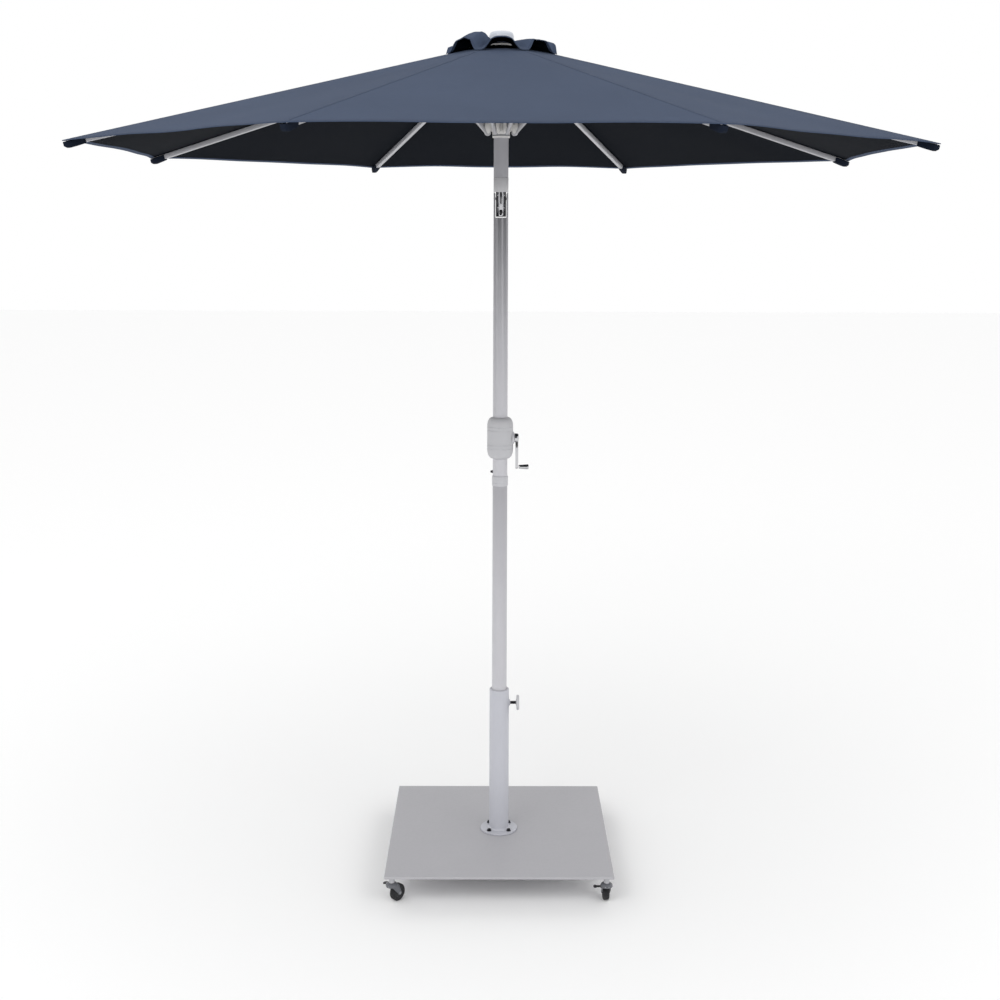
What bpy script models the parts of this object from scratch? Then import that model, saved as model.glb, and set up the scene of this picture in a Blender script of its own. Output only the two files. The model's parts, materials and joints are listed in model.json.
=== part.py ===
"""Patio umbrella on a square rolling base, as separate pieces in metres, +Z up.

The origin is on the floor under the pole. The canopy is a regular octagon whose ribs stand at
22.5 degrees and every 45 degrees from there, so that a straight side faces -Y.
The crank is on the +X side, and the tilt joint opens towards -Y and leans the canopy towards +Y.
"""

from math import atan2, cos, hypot, pi, radians, sin, tan

import bmesh
import bpy
from mathutils import Matrix, Vector

# ---------------------------------------------------------------- driving dimensions
FIT = 0.0003  # gap between pieces that touch
RIBS = 8
SECTOR = pi / RIBS  # half the angle between two ribs
ROUND = 32  # sides of a large turned piece
SMALL_ROUND = 16  # sides of a small turned piece

CANOPY_RADIUS = 1.375  # axis to rib tip
CANOPY_PEAK = 2.664  # where the slopes of the ribs' fabric would meet on the axis
CANOPY_SLOPE = 0.259  # fall of the fabric per metre along a rib
FABRIC = 0.0015  # thickness of the canopy solids
HEM_DIP = 0.030  # how far a hem is pulled in between two rib tips
VENT_HOLE = 0.14  # radius of the canopy's open middle, at a rib
VENT_TIP = 0.19  # radius of the vent cap, at a rib
VENT_ARCH = 0.034  # rise of the vent cap between two ribs

WHEEL_RADIUS = 0.025
WHEEL_WIDTH = 0.020
AXLE_RADIUS = 0.003
CASTER_TRAIL = 0.024
CASTER_INSET = 0.022  # caster stem to the plate's sides
FORK_TOP = 0.0662

PLATE_SIDE = 0.70
PLATE_BOTTOM = 0.080
PLATE_TOP = 0.088
STEM_RADIUS = 0.03175
STEM_BORE = 0.027
STEM_TOP = 0.549
FLANGE_RADIUS = 0.060
FLANGE_TOP = 0.0935
BOLT_CIRCLE = 0.045

CLAMP_HEIGHT = 0.503
CLAMP_BOSS_END = 0.036
CLAMP_RADIUS = 0.005
KNOB_START = 0.055
KNOB_END = 0.0655
KNOB_RADIUS = 0.024

POLE_RADIUS = 0.024
POLE_BORE = 0.022
SPIGOT_RADIUS = 0.0217
SPIGOT_TOP = 1.300
COLLAR_BOTTOM = 1.216
COLLAR_TOP = 1.249
SNAP_HEIGHT = 1.262
SNAP_RADIUS = 0.0042
SNAP_END = 0.032

HOUSING_BOTTOM = 1.306
HOUSING_TOP = 1.441
HOUSING_RADIUS = 0.0425
CRANK_HEIGHT = 1.373
CRANK_REACH = 0.095  # shaft to grip pin
SHAFT_RADIUS = 0.005
BOSS_END = 0.0465
HUB_END = 0.061
GRIP_START = 0.0605
GRIP_END = 0.094

WINDOW_BOTTOM = 2.093
TILT_HEIGHT = 2.155
EAR_RADIUS = 0.0205
TILT_LIMIT = radians(33)
KNUCKLE_SEAT = 2.1762
KNUCKLE_TOP = 2.223
UPPER_POLE_TOP = 2.650

RUNNER_PIVOT = (0.048, 2.371)  # radius, height
RUNNER_BOTTOM = 2.353
RUNNER_BORE = 0.0246
HUB_PIVOT_RADIUS = 0.042
RIB_WIDTH = 0.014
RIB_DEPTH = 0.018
RIB_WALL = 0.0012
BLADE = 0.006  # thickness of the eye at the end of a rib or a stretcher
BRACKET_REACH = 0.30  # hub pivot to stretcher bracket, along the rib
BRACKET_DROP = 0.020  # bracket pin below the rib's middle line
STRETCHER_WIDTH = 0.010
STRETCHER_DEPTH = 0.012
PIN_RADIUS = 0.0025

# ---------------------------------------------------------------- worked out from them
RIB_ANGLE = atan2(CANOPY_SLOPE, 1)
RIB_TOP_GAP = (RIB_DEPTH / 2 + FABRIC + 0.0005) / cos(RIB_ANGLE)
HUB_PIVOT = (
    HUB_PIVOT_RADIUS,
    CANOPY_PEAK - CANOPY_SLOPE * HUB_PIVOT_RADIUS - RIB_TOP_GAP,
)
RIB_LENGTH = (CANOPY_RADIUS - 0.012 - HUB_PIVOT_RADIUS) / cos(RIB_ANGLE)
BRACKET_PIN = (
    HUB_PIVOT[0] + BRACKET_REACH * cos(RIB_ANGLE) - BRACKET_DROP * sin(RIB_ANGLE),
    HUB_PIVOT[1] - BRACKET_REACH * sin(RIB_ANGLE) - BRACKET_DROP * cos(RIB_ANGLE),
)

# name: base colour, roughness, metallic
FINISHES = {
    "powder_coat_grey": ((0.42, 0.42, 0.44), 0.45, 0.0),
    "pole_grey": ((0.48, 0.48, 0.51), 0.40, 0.1),
    "pole_dark_grey": ((0.27, 0.27, 0.30), 0.40, 0.1),
    "housing_plastic": ((0.40, 0.40, 0.42), 0.50, 0.0),
    "light_plastic": ((0.70, 0.72, 0.75), 0.40, 0.0),
    "hub_plastic": ((0.62, 0.61, 0.60), 0.50, 0.0),
    "canopy_fabric": ((0.070, 0.095, 0.150), 0.90, 0.0),
    "chrome": ((0.80, 0.80, 0.82), 0.10, 1.0),
    "dark_metal": ((0.06, 0.06, 0.07), 0.35, 0.8),
    "zinc": ((0.33, 0.34, 0.35), 0.40, 1.0),
    "fork_grey": ((0.16, 0.17, 0.18), 0.45, 0.0),
    "tyre_black": ((0.015, 0.015, 0.017), 0.60, 0.0),
    "rib_grey": ((0.50, 0.50, 0.53), 0.40, 0.1),
}


# ---------------------------------------------------------------- scene and materials
def clear_scene():
    for item in list(bpy.data.objects):
        bpy.data.objects.remove(item)
    bpy.context.scene.unit_settings.system = "METRIC"
    bpy.context.scene.unit_settings.scale_length = 1.0


def collection(name):
    group = bpy.data.collections.new(name)
    bpy.context.scene.collection.children.link(group)
    return group


def material(name):
    if name in bpy.data.materials:
        return bpy.data.materials[name]
    colour, roughness, metallic = FINISHES[name]
    made = bpy.data.materials.new(name)
    made.use_nodes = True
    shader = made.node_tree.nodes["Principled BSDF"]
    shader.inputs["Base Color"].default_value = (*colour, 1.0)
    shader.inputs["Roughness"].default_value = roughness
    shader.inputs["Metallic"].default_value = metallic
    return made


# ---------------------------------------------------------------- shapes, as plain meshes
def mesh_from(bm, name="shape"):
    mesh = bpy.data.meshes.new(name)
    bm.to_mesh(mesh)
    bm.free()
    return mesh


def block(low, high, turn=None):
    """A box between two corners, optionally turned by a matrix afterwards."""
    bm = bmesh.new()
    bmesh.ops.create_cube(bm, size=1.0)
    corners = list(zip(low, high))
    low, high = Vector(map(min, corners)), Vector(map(max, corners))
    bmesh.ops.scale(bm, vec=high - low, verts=bm.verts)
    bmesh.ops.translate(bm, vec=(low + high) / 2, verts=bm.verts)
    if turn is not None:
        bmesh.ops.transform(bm, matrix=turn, verts=bm.verts)
    return mesh_from(bm)


def rod(start, end, radius, end_radius=None, sides=SMALL_ROUND):
    """A round bar or a cone between two points."""
    start, end = Vector(start), Vector(end)
    along = end - start
    bm = bmesh.new()
    bmesh.ops.create_cone(
        bm,
        cap_ends=True,
        segments=sides,
        radius1=radius,
        radius2=radius if end_radius is None else end_radius,
        depth=along.length,
    )
    turn = Vector((0, 0, 1)).rotation_difference(along).to_matrix().to_4x4()
    bmesh.ops.transform(bm, matrix=Matrix.Translation((start + end) / 2) @ turn, verts=bm.verts)
    return mesh_from(bm)


def turned(profile, sides=ROUND, ring=False):
    """A profile of (radius, height) points that runs down its outer side, turned about Z.
    A ring's profile is a closed loop that stays off the axis."""
    mesh = bpy.data.meshes.new("profile")
    points = [(r, 0, z) for r, z in profile]
    edges = [(i, i + 1) for i in range(len(points) - 1)]
    if ring:
        edges.append((len(points) - 1, 0))
    mesh.from_pydata(points, edges, [])
    spinner = bpy.data.objects.new("profile", mesh)
    bpy.context.scene.collection.objects.link(spinner)
    screw = spinner.modifiers.new("turn", "SCREW")
    screw.steps = screw.render_steps = sides
    screw.use_merge_vertices = True
    screw.merge_threshold = 0.00001
    made = baked(spinner)
    bpy.data.objects.remove(spinner)
    return made


def plate(outline, thickness, across="Y"):
    """A flat outline of (x, z) points given a thickness, centred on the plane across Y."""
    bm = bmesh.new()
    corners = [bm.verts.new((x, -thickness / 2, z)) for x, z in outline]
    face = bm.faces.new(corners)
    grown = bmesh.ops.extrude_face_region(bm, geom=[face])
    moved = [v for v in grown["geom"] if isinstance(v, bmesh.types.BMVert)]
    bmesh.ops.translate(bm, vec=(0, thickness, 0), verts=moved)
    bmesh.ops.recalc_face_normals(bm, faces=bm.faces)
    if across == "X":
        bmesh.ops.rotate(bm, cent=(0, 0, 0), matrix=Matrix.Rotation(pi / 2, 3, "Z"), verts=bm.verts)
    return mesh_from(bm)


def moved(mesh, offset=(0, 0, 0), about_z=0.0):
    mesh.transform(Matrix.Translation(offset) @ Matrix.Rotation(about_z, 4, "Z"))
    return mesh


def arc(centre, radius, start, end, count):
    """Points on an arc in a plane, with the angles in degrees."""
    cx, cz = centre
    for i in range(count + 1):
        angle = radians(start + (end - start) * i / count)
        yield (cx + radius * cos(angle), cz + radius * sin(angle))


def baked(item):
    """The mesh that an object's modifiers give."""
    bpy.context.view_layer.update()
    graph = bpy.context.evaluated_depsgraph_get()
    return bpy.data.meshes.new_from_object(item.evaluated_get(graph))


def combine(mesh, joined=(), cut=()):
    """One solid: a mesh with others joined to it, and then others cut from it."""
    base = bpy.data.objects.new("solid", mesh)
    bpy.context.scene.collection.objects.link(base)
    helpers = []
    for operation, meshes in (("UNION", joined), ("DIFFERENCE", cut)):
        for other in meshes:
            helper = bpy.data.objects.new("cutter", other)
            cutters.objects.link(helper)
            helper.hide_render = True
            helper.display_type = "WIRE"
            step = base.modifiers.new(operation.lower(), "BOOLEAN")
            step.operation = operation
            step.solver = "EXACT"
            step.object = helper
            helpers.append(helper)
    made = baked(base)
    for item in [base, *helpers]:
        bpy.data.objects.remove(item)
    return made


def rounded(mesh, width, segments=2, angle=50):
    """The mesh with its sharp edges bevelled."""
    item = bpy.data.objects.new("bevelled", mesh)
    bpy.context.scene.collection.objects.link(item)
    bevel = item.modifiers.new("bevel", "BEVEL")
    bevel.width = width
    bevel.segments = segments
    bevel.limit_method = "ANGLE"
    bevel.angle_limit = radians(angle)
    made = baked(item)
    bpy.data.objects.remove(item)
    return made


def piece(name, mesh, finish, at=(0, 0, 0), about_z=0.0, parent=None):
    """A named part of the umbrella, with its origin at the given place."""
    item = bpy.data.objects.new(name, mesh)
    parts.objects.link(item)
    if parent is not None:
        item.parent = parent
    item.location = at
    item.rotation_euler = (0, 0, about_z)
    mesh.materials.clear()
    mesh.materials.append(material(finish))
    mesh.shade_smooth()
    mesh.set_sharp_from_angle(angle=radians(35))
    return item


def pivot(name, at, about_z=0.0, parent=None):
    """An empty that a moving assembly hangs on."""
    item = bpy.data.objects.new(name, None)
    parts.objects.link(item)
    item.parent = parent
    item.location = at
    item.rotation_euler = (0, 0, about_z)
    item.empty_display_size = 0.03
    return item


# ---------------------------------------------------------------- base
def base_plate():
    half = PLATE_SIDE / 2
    slab = block((-half, -half, PLATE_BOTTOM), (half, half, PLATE_TOP))
    studs = []
    for x, y, _ in caster_places():
        studs.append(rod((x, y, FORK_TOP + FIT), (x, y, PLATE_BOTTOM + 0.002), 0.0085))
        studs.append(rod((x, y, 0.0555), (x, y, FORK_TOP + 0.002), 0.0045))
    piece("base_plate", combine(rounded(slab, 0.002), studs), "powder_coat_grey")


def stem_tube():
    z0 = PLATE_TOP + FIT
    ring = turned(
        [
            (STEM_BORE, STEM_TOP),
            (STEM_RADIUS - 0.001, STEM_TOP),
            (STEM_RADIUS, STEM_TOP - 0.001),
            (STEM_RADIUS, FLANGE_TOP),
            (FLANGE_RADIUS - 0.001, FLANGE_TOP),
            (FLANGE_RADIUS, FLANGE_TOP - 0.001),
            (FLANGE_RADIUS, z0),
            (STEM_BORE, z0),
        ],
        ring=True,
    )
    boss = rod((0.029, 0, CLAMP_HEIGHT), (CLAMP_BOSS_END, 0, CLAMP_HEIGHT), 0.0095)
    thread = rod((0.020, 0, CLAMP_HEIGHT), (0.045, 0, CLAMP_HEIGHT), CLAMP_RADIUS + FIT)
    holes = [
        rod((x, y, z0 - 0.01), (x, y, FLANGE_TOP + 0.01), 0.0045, sides=12)
        for x, y in bolt_places()
    ]
    piece("stem_tube", combine(ring, [boss], [thread, *holes]), "powder_coat_grey")


def bolt_places():
    return [
        (BOLT_CIRCLE * cos(radians(a)), BOLT_CIRCLE * sin(radians(a)))
        for a in (45, 135, 225, 315)
    ]


def flange_bolts():
    z0 = FLANGE_TOP + FIT
    shank = rod((0, 0, PLATE_TOP + FIT - z0), (0, 0, 0.001), 0.0040, sides=12)
    washer = rod((0, 0, 0), (0, 0, 0.0012), 0.0075, sides=12)
    head = rod((0, 0, 0.001), (0, 0, 0.0055), 0.0062, sides=6)
    mesh = combine(washer, [head, shank])
    for n, (x, y) in enumerate(bolt_places(), 1):
        piece(f"flange_bolt_{n}", mesh, "zinc", at=(x, y, z0))


def clamp():
    screw_end = KNOB_START + 0.006
    mesh = rod((POLE_RADIUS + FIT, 0, 0), (screw_end, 0, 0), CLAMP_RADIUS)
    screw = piece("clamp_screw", mesh, "dark_metal", at=(0, 0, CLAMP_HEIGHT))
    disc = rounded(rod((KNOB_START, 0, 0), (KNOB_END, 0, 0), KNOB_RADIUS, sides=ROUND), 0.0015)
    socket = rod((0, 0, 0), (screw_end + FIT, 0, 0), CLAMP_RADIUS + FIT)
    piece("clamp_knob", combine(disc, cut=[socket]), "light_plastic", parent=screw)


# ---------------------------------------------------------------- casters
def caster_places():
    """x, y and the direction that each caster's wheel trails to."""
    reach = PLATE_SIDE / 2 - CASTER_INSET
    return [
        (-reach, -reach, radians(48)),
        (reach, -reach, radians(92)),
        (reach, reach, radians(200)),
        (-reach, reach, radians(335)),
    ]


def caster_fork_mesh():
    """The hood, its two cheeks and the axle, with the stem on Z and the wheel towards +X."""
    cheek_in = WHEEL_WIDTH / 2 + 0.0007
    cheek = 0.0026
    hood = rounded(rod((0, 0, 0.0515), (0, 0, FORK_TOP), 0.019, sides=24), 0.005, 3)
    roof = rounded(
        block((0, -cheek_in - cheek, 0.0515), (CASTER_TRAIL + 0.006, cheek_in + cheek, 0.0615)),
        0.003,
        2,
    )
    outline = [
        (-0.014, 0.054),
        *arc((CASTER_TRAIL, WHEEL_RADIUS), 0.008, 205, 380, 6),
        (CASTER_TRAIL + 0.0055, 0.054),
    ]
    cheeks = [
        moved(plate(outline, cheek), (0, side * (cheek_in + cheek / 2), 0)) for side in (-1, 1)
    ]
    half = cheek_in + cheek + 0.001
    axle = rod(
        (CASTER_TRAIL, -half, WHEEL_RADIUS), (CASTER_TRAIL, half, WHEEL_RADIUS), AXLE_RADIUS
    )
    bore = rod((0, 0, 0.045), (0, 0, 0.08), 0.0045 + FIT)
    return combine(hood, [roof, *cheeks, axle], [bore])


def caster_wheel_mesh():
    """The tyre and hub as one ring about Y."""
    half = WHEEL_WIDTH / 2
    profile = [
        (AXLE_RADIUS + FIT, half),
        (0.014, half),
        (0.016, half - 0.0015),
        (WHEEL_RADIUS - 0.003, half - 0.0005),
        (WHEEL_RADIUS - 0.0008, half - 0.002),
        (WHEEL_RADIUS, half - 0.005),
        (WHEEL_RADIUS, 0.005 - half),
        (WHEEL_RADIUS - 0.0008, 0.002 - half),
        (WHEEL_RADIUS - 0.003, 0.0005 - half),
        (0.016, 0.0015 - half),
        (0.014, -half),
        (AXLE_RADIUS + FIT, -half),
    ]
    mesh = turned(profile, sides=24, ring=True)
    mesh.transform(Matrix.Rotation(pi / 2, 4, "X"))
    return mesh


def caster_brake_mesh():
    """A foot lever that leaves the fork's left cheek, with its pivot at the origin, along X."""
    barrel = rod((-0.006, 0, 0), (0.006, 0, 0), 0.0028, sides=12)
    arm = block((-0.0055, -0.001, -0.0012), (0.0055, 0.013, 0.0012))
    pedal = rounded(block((-0.009, 0.012, -0.0016), (0.009, 0.024, 0.0016)), 0.001, 1)
    return combine(barrel, [arm, pedal])


def casters():
    fork, wheel, brake = caster_fork_mesh(), caster_wheel_mesh(), caster_brake_mesh()
    brake_y = WHEEL_WIDTH / 2 + 0.0007 + 0.0026 + 0.0028 + FIT
    for n, (x, y, trail) in enumerate(caster_places(), 1):
        swivel = pivot(f"caster_{n}", (x, y, 0), trail)
        piece(f"caster_fork_{n}", fork, "fork_grey", parent=swivel)
        piece(
            f"caster_wheel_{n}",
            wheel,
            "tyre_black",
            at=(CASTER_TRAIL, 0, WHEEL_RADIUS),
            parent=swivel,
        )
        piece(f"caster_brake_{n}", brake, "dark_metal", at=(0.006, brake_y, 0.048), parent=swivel)


# ---------------------------------------------------------------- pole
def lower_pole():
    bottom = PLATE_TOP + 0.0006
    ring = turned(
        [
            (0.0200, SPIGOT_TOP),
            (SPIGOT_RADIUS - 0.0008, SPIGOT_TOP),
            (SPIGOT_RADIUS, SPIGOT_TOP - 0.0008),
            (SPIGOT_RADIUS, COLLAR_BOTTOM - FIT),
            (POLE_RADIUS, COLLAR_BOTTOM - FIT),
            (POLE_RADIUS, bottom),
            (0.0200, bottom),
        ],
        ring=True,
    )
    hole = rod((-0.015, 0, SNAP_HEIGHT), (-0.03, 0, SNAP_HEIGHT), SNAP_RADIUS + FIT)
    piece("lower_pole", combine(ring, cut=[hole]), "pole_grey")
    bore = SPIGOT_RADIUS + FIT
    collar = turned(
        [
            (bore, COLLAR_TOP),
            (0.0255, COLLAR_TOP),
            (0.0263, COLLAR_TOP - 0.0015),
            (0.0263, COLLAR_BOTTOM + 0.006),
            (0.0250, COLLAR_BOTTOM),
            (bore, COLLAR_BOTTOM),
        ],
        ring=True,
    )
    piece("pole_collar", collar, "light_plastic")


def snap_button():
    shank = rod((0, 0, 0), (-0.011, 0, 0), SNAP_RADIUS)
    cap = rod((-0.0105, 0, 0), (-0.0128, 0, 0), SNAP_RADIUS, SNAP_RADIUS * 0.55)
    spring_leaf = block((-0.0002, -0.004, -0.018), (0.0012, 0.004, 0.0045))
    at = (0.0128 - SNAP_END, 0, SNAP_HEIGHT)
    piece("snap_button", combine(shank, [cap, spring_leaf]), "dark_metal", at=at)


def main_pole():
    bottom = COLLAR_TOP + FIT
    ring = turned(
        [
            (POLE_BORE, KNUCKLE_SEAT - FIT),
            (POLE_RADIUS, KNUCKLE_SEAT - FIT),
            (POLE_RADIUS, bottom),
            (POLE_BORE, bottom),
        ],
        ring=True,
    )
    slot = block((-0.018, -0.04, WINDOW_BOTTOM), (0.018, 0.04, KNUCKLE_SEAT + 0.01))
    lean = [
        block((-0.05, -0.06, EAR_RADIUS - FIT), (0.05, 0.06, 0.06)),
    ]
    for side in (-1, 1):
        turn = Matrix.Rotation(side * TILT_LIMIT, 4, "X")
        lean.append(block((-0.05, -0.06, EAR_RADIUS - FIT), (0.05, 0.06, 0.06), turn))
    lean = [moved(mesh, (0, 0, TILT_HEIGHT)) for mesh in lean]
    holes = [
        rod((-0.03, 0, TILT_HEIGHT), (0.03, 0, TILT_HEIGHT), 0.0040 + FIT),
        rod((0.015, 0, CRANK_HEIGHT), (0.03, 0, CRANK_HEIGHT), SHAFT_RADIUS + FIT),
        rod((-0.015, 0, CRANK_HEIGHT), (-0.03, 0, CRANK_HEIGHT), 0.0040 + FIT),
        rod((-0.015, 0, SNAP_HEIGHT), (-0.03, 0, SNAP_HEIGHT), SNAP_RADIUS + FIT),
    ]
    piece("main_pole", combine(ring, cut=[slot, *lean, *holes]), "pole_grey")


# ---------------------------------------------------------------- crank
def crank_housing():
    pole = POLE_RADIUS + FIT
    wide, cavity = HOUSING_RADIUS, HOUSING_RADIUS - 0.004
    low, high = HOUSING_BOTTOM, HOUSING_TOP
    outer = [
        (pole, high),
        (0.0275, high - 0.0015),
        *arc((wide - 0.018, high - 0.024), 0.018, 68, 0, 5),
        *arc((wide - 0.017, low + 0.022), 0.017, 0, -68, 5),
        (0.0275, low + 0.0012),
        (pole, low),
    ]
    inner = [(pole, low + 0.010), (cavity, low + 0.024), (cavity, high - 0.026), (pole, high - 0.011)]
    shell = turned(outer + inner, ring=True)
    boss = rod((0.039, 0, CRANK_HEIGHT), (BOSS_END, 0, CRANK_HEIGHT), 0.0205, 0.0175, sides=24)
    bore = rod((0.03, 0, CRANK_HEIGHT), (0.06, 0, CRANK_HEIGHT), SHAFT_RADIUS + FIT)
    for name, side in (("crank_housing_front", 1), ("crank_housing_rear", -1)):
        half = block((-0.1, 0, low - 0.05), (0.1, 0.1, high + 0.05))
        half = moved(half, about_z=0 if side == 1 else pi)
        half = moved(half, (0, -side * FIT / 2, 0))
        whole = combine(shell.copy(), [boss.copy()], [bore.copy(), half])
        piece(name, whole, "housing_plastic")


def along_x(mesh):
    """A piece turned about Z laid along +X."""
    mesh.transform(Matrix.Rotation(pi / 2, 4, "Y"))
    return mesh


def crank():
    spool = turned(
        [
            (0, HUB_END - 0.004),
            (SHAFT_RADIUS, HUB_END - 0.004),
            (SHAFT_RADIUS, 0.015),
            (0.0145, 0.015),
            (0.0145, 0.013),
            (0.009, 0.013),
            (0.009, -0.013),
            (0.0145, -0.013),
            (0.0145, -0.015),
            (0.004, -0.015),
            (0.004, -0.0236),
            (0, -0.0236),
        ],
        sides=SMALL_ROUND,
    )
    shaft = piece("crank_spool", along_x(spool), "zinc", at=(0, 0, CRANK_HEIGHT))
    hub = rounded(
        rod((BOSS_END + FIT, 0, 0), (HUB_END, 0, 0), 0.0150, 0.0125, sides=24), 0.002, 2
    )
    arm = rounded(
        plate(
            [
                (-0.0075, -0.002),
                (-0.0060, -CRANK_REACH + 0.002),
                *arc((0, -CRANK_REACH), 0.0065, 190, 350, 5),
                (0.0060, -CRANK_REACH + 0.002),
                (0.0075, -0.002),
            ],
            0.0090,
            "X",
        ),
        0.0015,
        1,
    )
    arm = moved(arm, ((BOSS_END + HUB_END) / 2 + 0.0005, 0, 0))
    grip_pin = rod((0.055, 0, -CRANK_REACH), (GRIP_END - 0.008, 0, -CRANK_REACH), 0.003)
    bore = rod((0, 0, 0), (HUB_END - 0.004 + FIT, 0, 0), SHAFT_RADIUS + FIT)
    piece("crank_arm", combine(hub, [arm, grip_pin], [bore]), "chrome", parent=shaft)
    grip = turned(
        [
            (0, GRIP_END),
            (0.0060, GRIP_END),
            (0.0082, GRIP_END - 0.002),
            (0.0084, GRIP_END - 0.005),
            (0.0062, GRIP_START + 0.003),
            (0.0055, GRIP_START),
            (0.003 + FIT, GRIP_START),
            (0.003 + FIT, GRIP_END - 0.008 + FIT),
            (0, GRIP_END - 0.008 + FIT),
        ],
        sides=SMALL_ROUND,
    )
    piece("crank_grip", along_x(grip), "chrome", at=(0, 0, -CRANK_REACH), parent=shaft)


# ---------------------------------------------------------------- tilt joint and upper pole
def tilt_joint():
    """The knuckle stands on its pins at the origin, its tail in the pole's window."""
    head = pivot("canopy_head", (0, 0, TILT_HEIGHT))
    seat, top = KNUCKLE_SEAT - TILT_HEIGHT, KNUCKLE_TOP - TILT_HEIGHT
    collar = rod((0, 0, seat), (0, 0, top), POLE_RADIUS, sides=ROUND)
    spigot = rod((0, 0, top - 0.001), (0, 0, top + 0.037), SPIGOT_RADIUS, sides=24)
    tail = rod((0, 0, WINDOW_BOTTOM + 0.003 - TILT_HEIGHT), (0, 0, seat + 0.001), 0.0208, sides=ROUND)
    sides = [
        block((s * 0.0165, -0.03, -0.1), (s * 0.04, 0.03, seat)) for s in (-1, 1)
    ]
    tail = combine(tail, cut=sides)
    pins = rod((-POLE_RADIUS + 0.0002, 0, 0), (POLE_RADIUS - 0.0002, 0, 0), 0.0040)
    socket = rod((0, -0.03, -0.045), (0, -0.0094, -0.045), 0.0046 + FIT)
    mesh = combine(collar, [spigot, tail, pins], [socket])
    piece("tilt_knuckle", mesh, "chrome", parent=head)
    button = combine(
        rod((0, 0.0085, 0), (0, -0.0002, 0), 0.0046),
        [rod((0, 0, 0), (0, -0.0018, 0), 0.0046, 0.0032)],
    )
    piece("tilt_button", button, "dark_metal", at=(0, -0.0213, -0.045), parent=head)
    z0 = top + FIT
    tube = turned(
        [
            (POLE_BORE, UPPER_POLE_TOP - TILT_HEIGHT),
            (POLE_RADIUS, UPPER_POLE_TOP - TILT_HEIGHT),
            (POLE_RADIUS, z0),
            (POLE_BORE, z0),
        ],
        ring=True,
    )
    piece("upper_pole", tube, "pole_dark_grey", parent=head)


# ---------------------------------------------------------------- canopy frame
def rib_azimuths():
    return [SECTOR + k * 2 * SECTOR for k in range(RIBS)]


def ear_pairs(outline, gap, thickness):
    """Two upright plates on each side of every rib's plane, all round the pole."""
    for azimuth in rib_azimuths():
        for side in (-1, 1):
            ear = moved(plate(outline, thickness), (0, side * (gap + thickness) / 2, 0))
            yield moved(ear, about_z=azimuth)


def runner():
    """The sliding hub: a sleeve whose ears hold the stretchers' inner ends."""
    radius, height = RUNNER_PIVOT
    sleeve = turned(
        [
            (RUNNER_BORE, height + 0.055),
            (0.0275, height + 0.055),
            (0.0285, height + 0.054),
            (0.0285, RUNNER_BOTTOM + 0.001),
            (0.0275, RUNNER_BOTTOM),
            (RUNNER_BORE, RUNNER_BOTTOM),
        ],
        ring=True,
    )
    outline = [
        (0.0275, height + 0.044),
        (0.0275, height + 0.002),
        (0.0400, height + 0.006),
        *arc(RUNNER_PIVOT, 0.0055, 200, 350, 4),
        (0.0600, height + 0.013),
        (0.0610, height + 0.034),
        (0.0450, height + 0.039),
    ]
    ears = list(ear_pairs(outline, STRETCHER_WIDTH + 0.0010, 0.0030))
    piece("runner", combine(sleeve, ears), "hub_plastic")


def top_hub():
    """The fixed hub on the pole's top end, with the ribs' pins across its ears."""
    radius, height = HUB_PIVOT
    outer = turned(
        [
            (0, 2.6585),
            (0.0330, 2.6585),
            (0.0345, 2.6570),
            (0.0345, 2.6530),
            (0.0280, 2.6520),
            (0.0280, 2.6010),
            (0.0270, 2.6000),
            (0, 2.6000),
        ]
    )
    bore = rod((0, 0, 2.59), (0, 0, UPPER_POLE_TOP + FIT), POLE_RADIUS + FIT, sides=ROUND)
    stud_hole = rod((0, 0, 2.64), (0, 0, 2.67), 0.004 + FIT)
    outline = [
        (0.0270, height + 0.006),
        (0.0270, height - 0.030),
        *arc(HUB_PIVOT, 0.0065, -60, 90, 5),
    ]
    ears = list(ear_pairs(outline, BLADE + 0.0008, 0.0030))
    pins = []
    for azimuth in rib_azimuths():
        pin = rod((0, -0.0075, 0), (0, 0.0075, 0), PIN_RADIUS, sides=8)
        pins.append(moved(moved(pin, (radius, 0, height)), about_z=azimuth))
    piece("top_hub", combine(outer, [*ears, *pins], [bore, stud_hole]), "hub_plastic")


def finial():
    base = 2.6645
    mesh = turned(
        [
            (0, 2.7000),
            (0.0240, 2.6996),
            (0.0320, 2.6976),
            (0.0375, 2.6930),
            (0.0400, 2.6855),
            (0.0400, 2.6720),
            (0.0375, base),
            (0.0040, base),
            (0.0040, 2.6515),
            (0, 2.6515),
        ]
    )
    piece("finial", mesh, "light_plastic")


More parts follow.
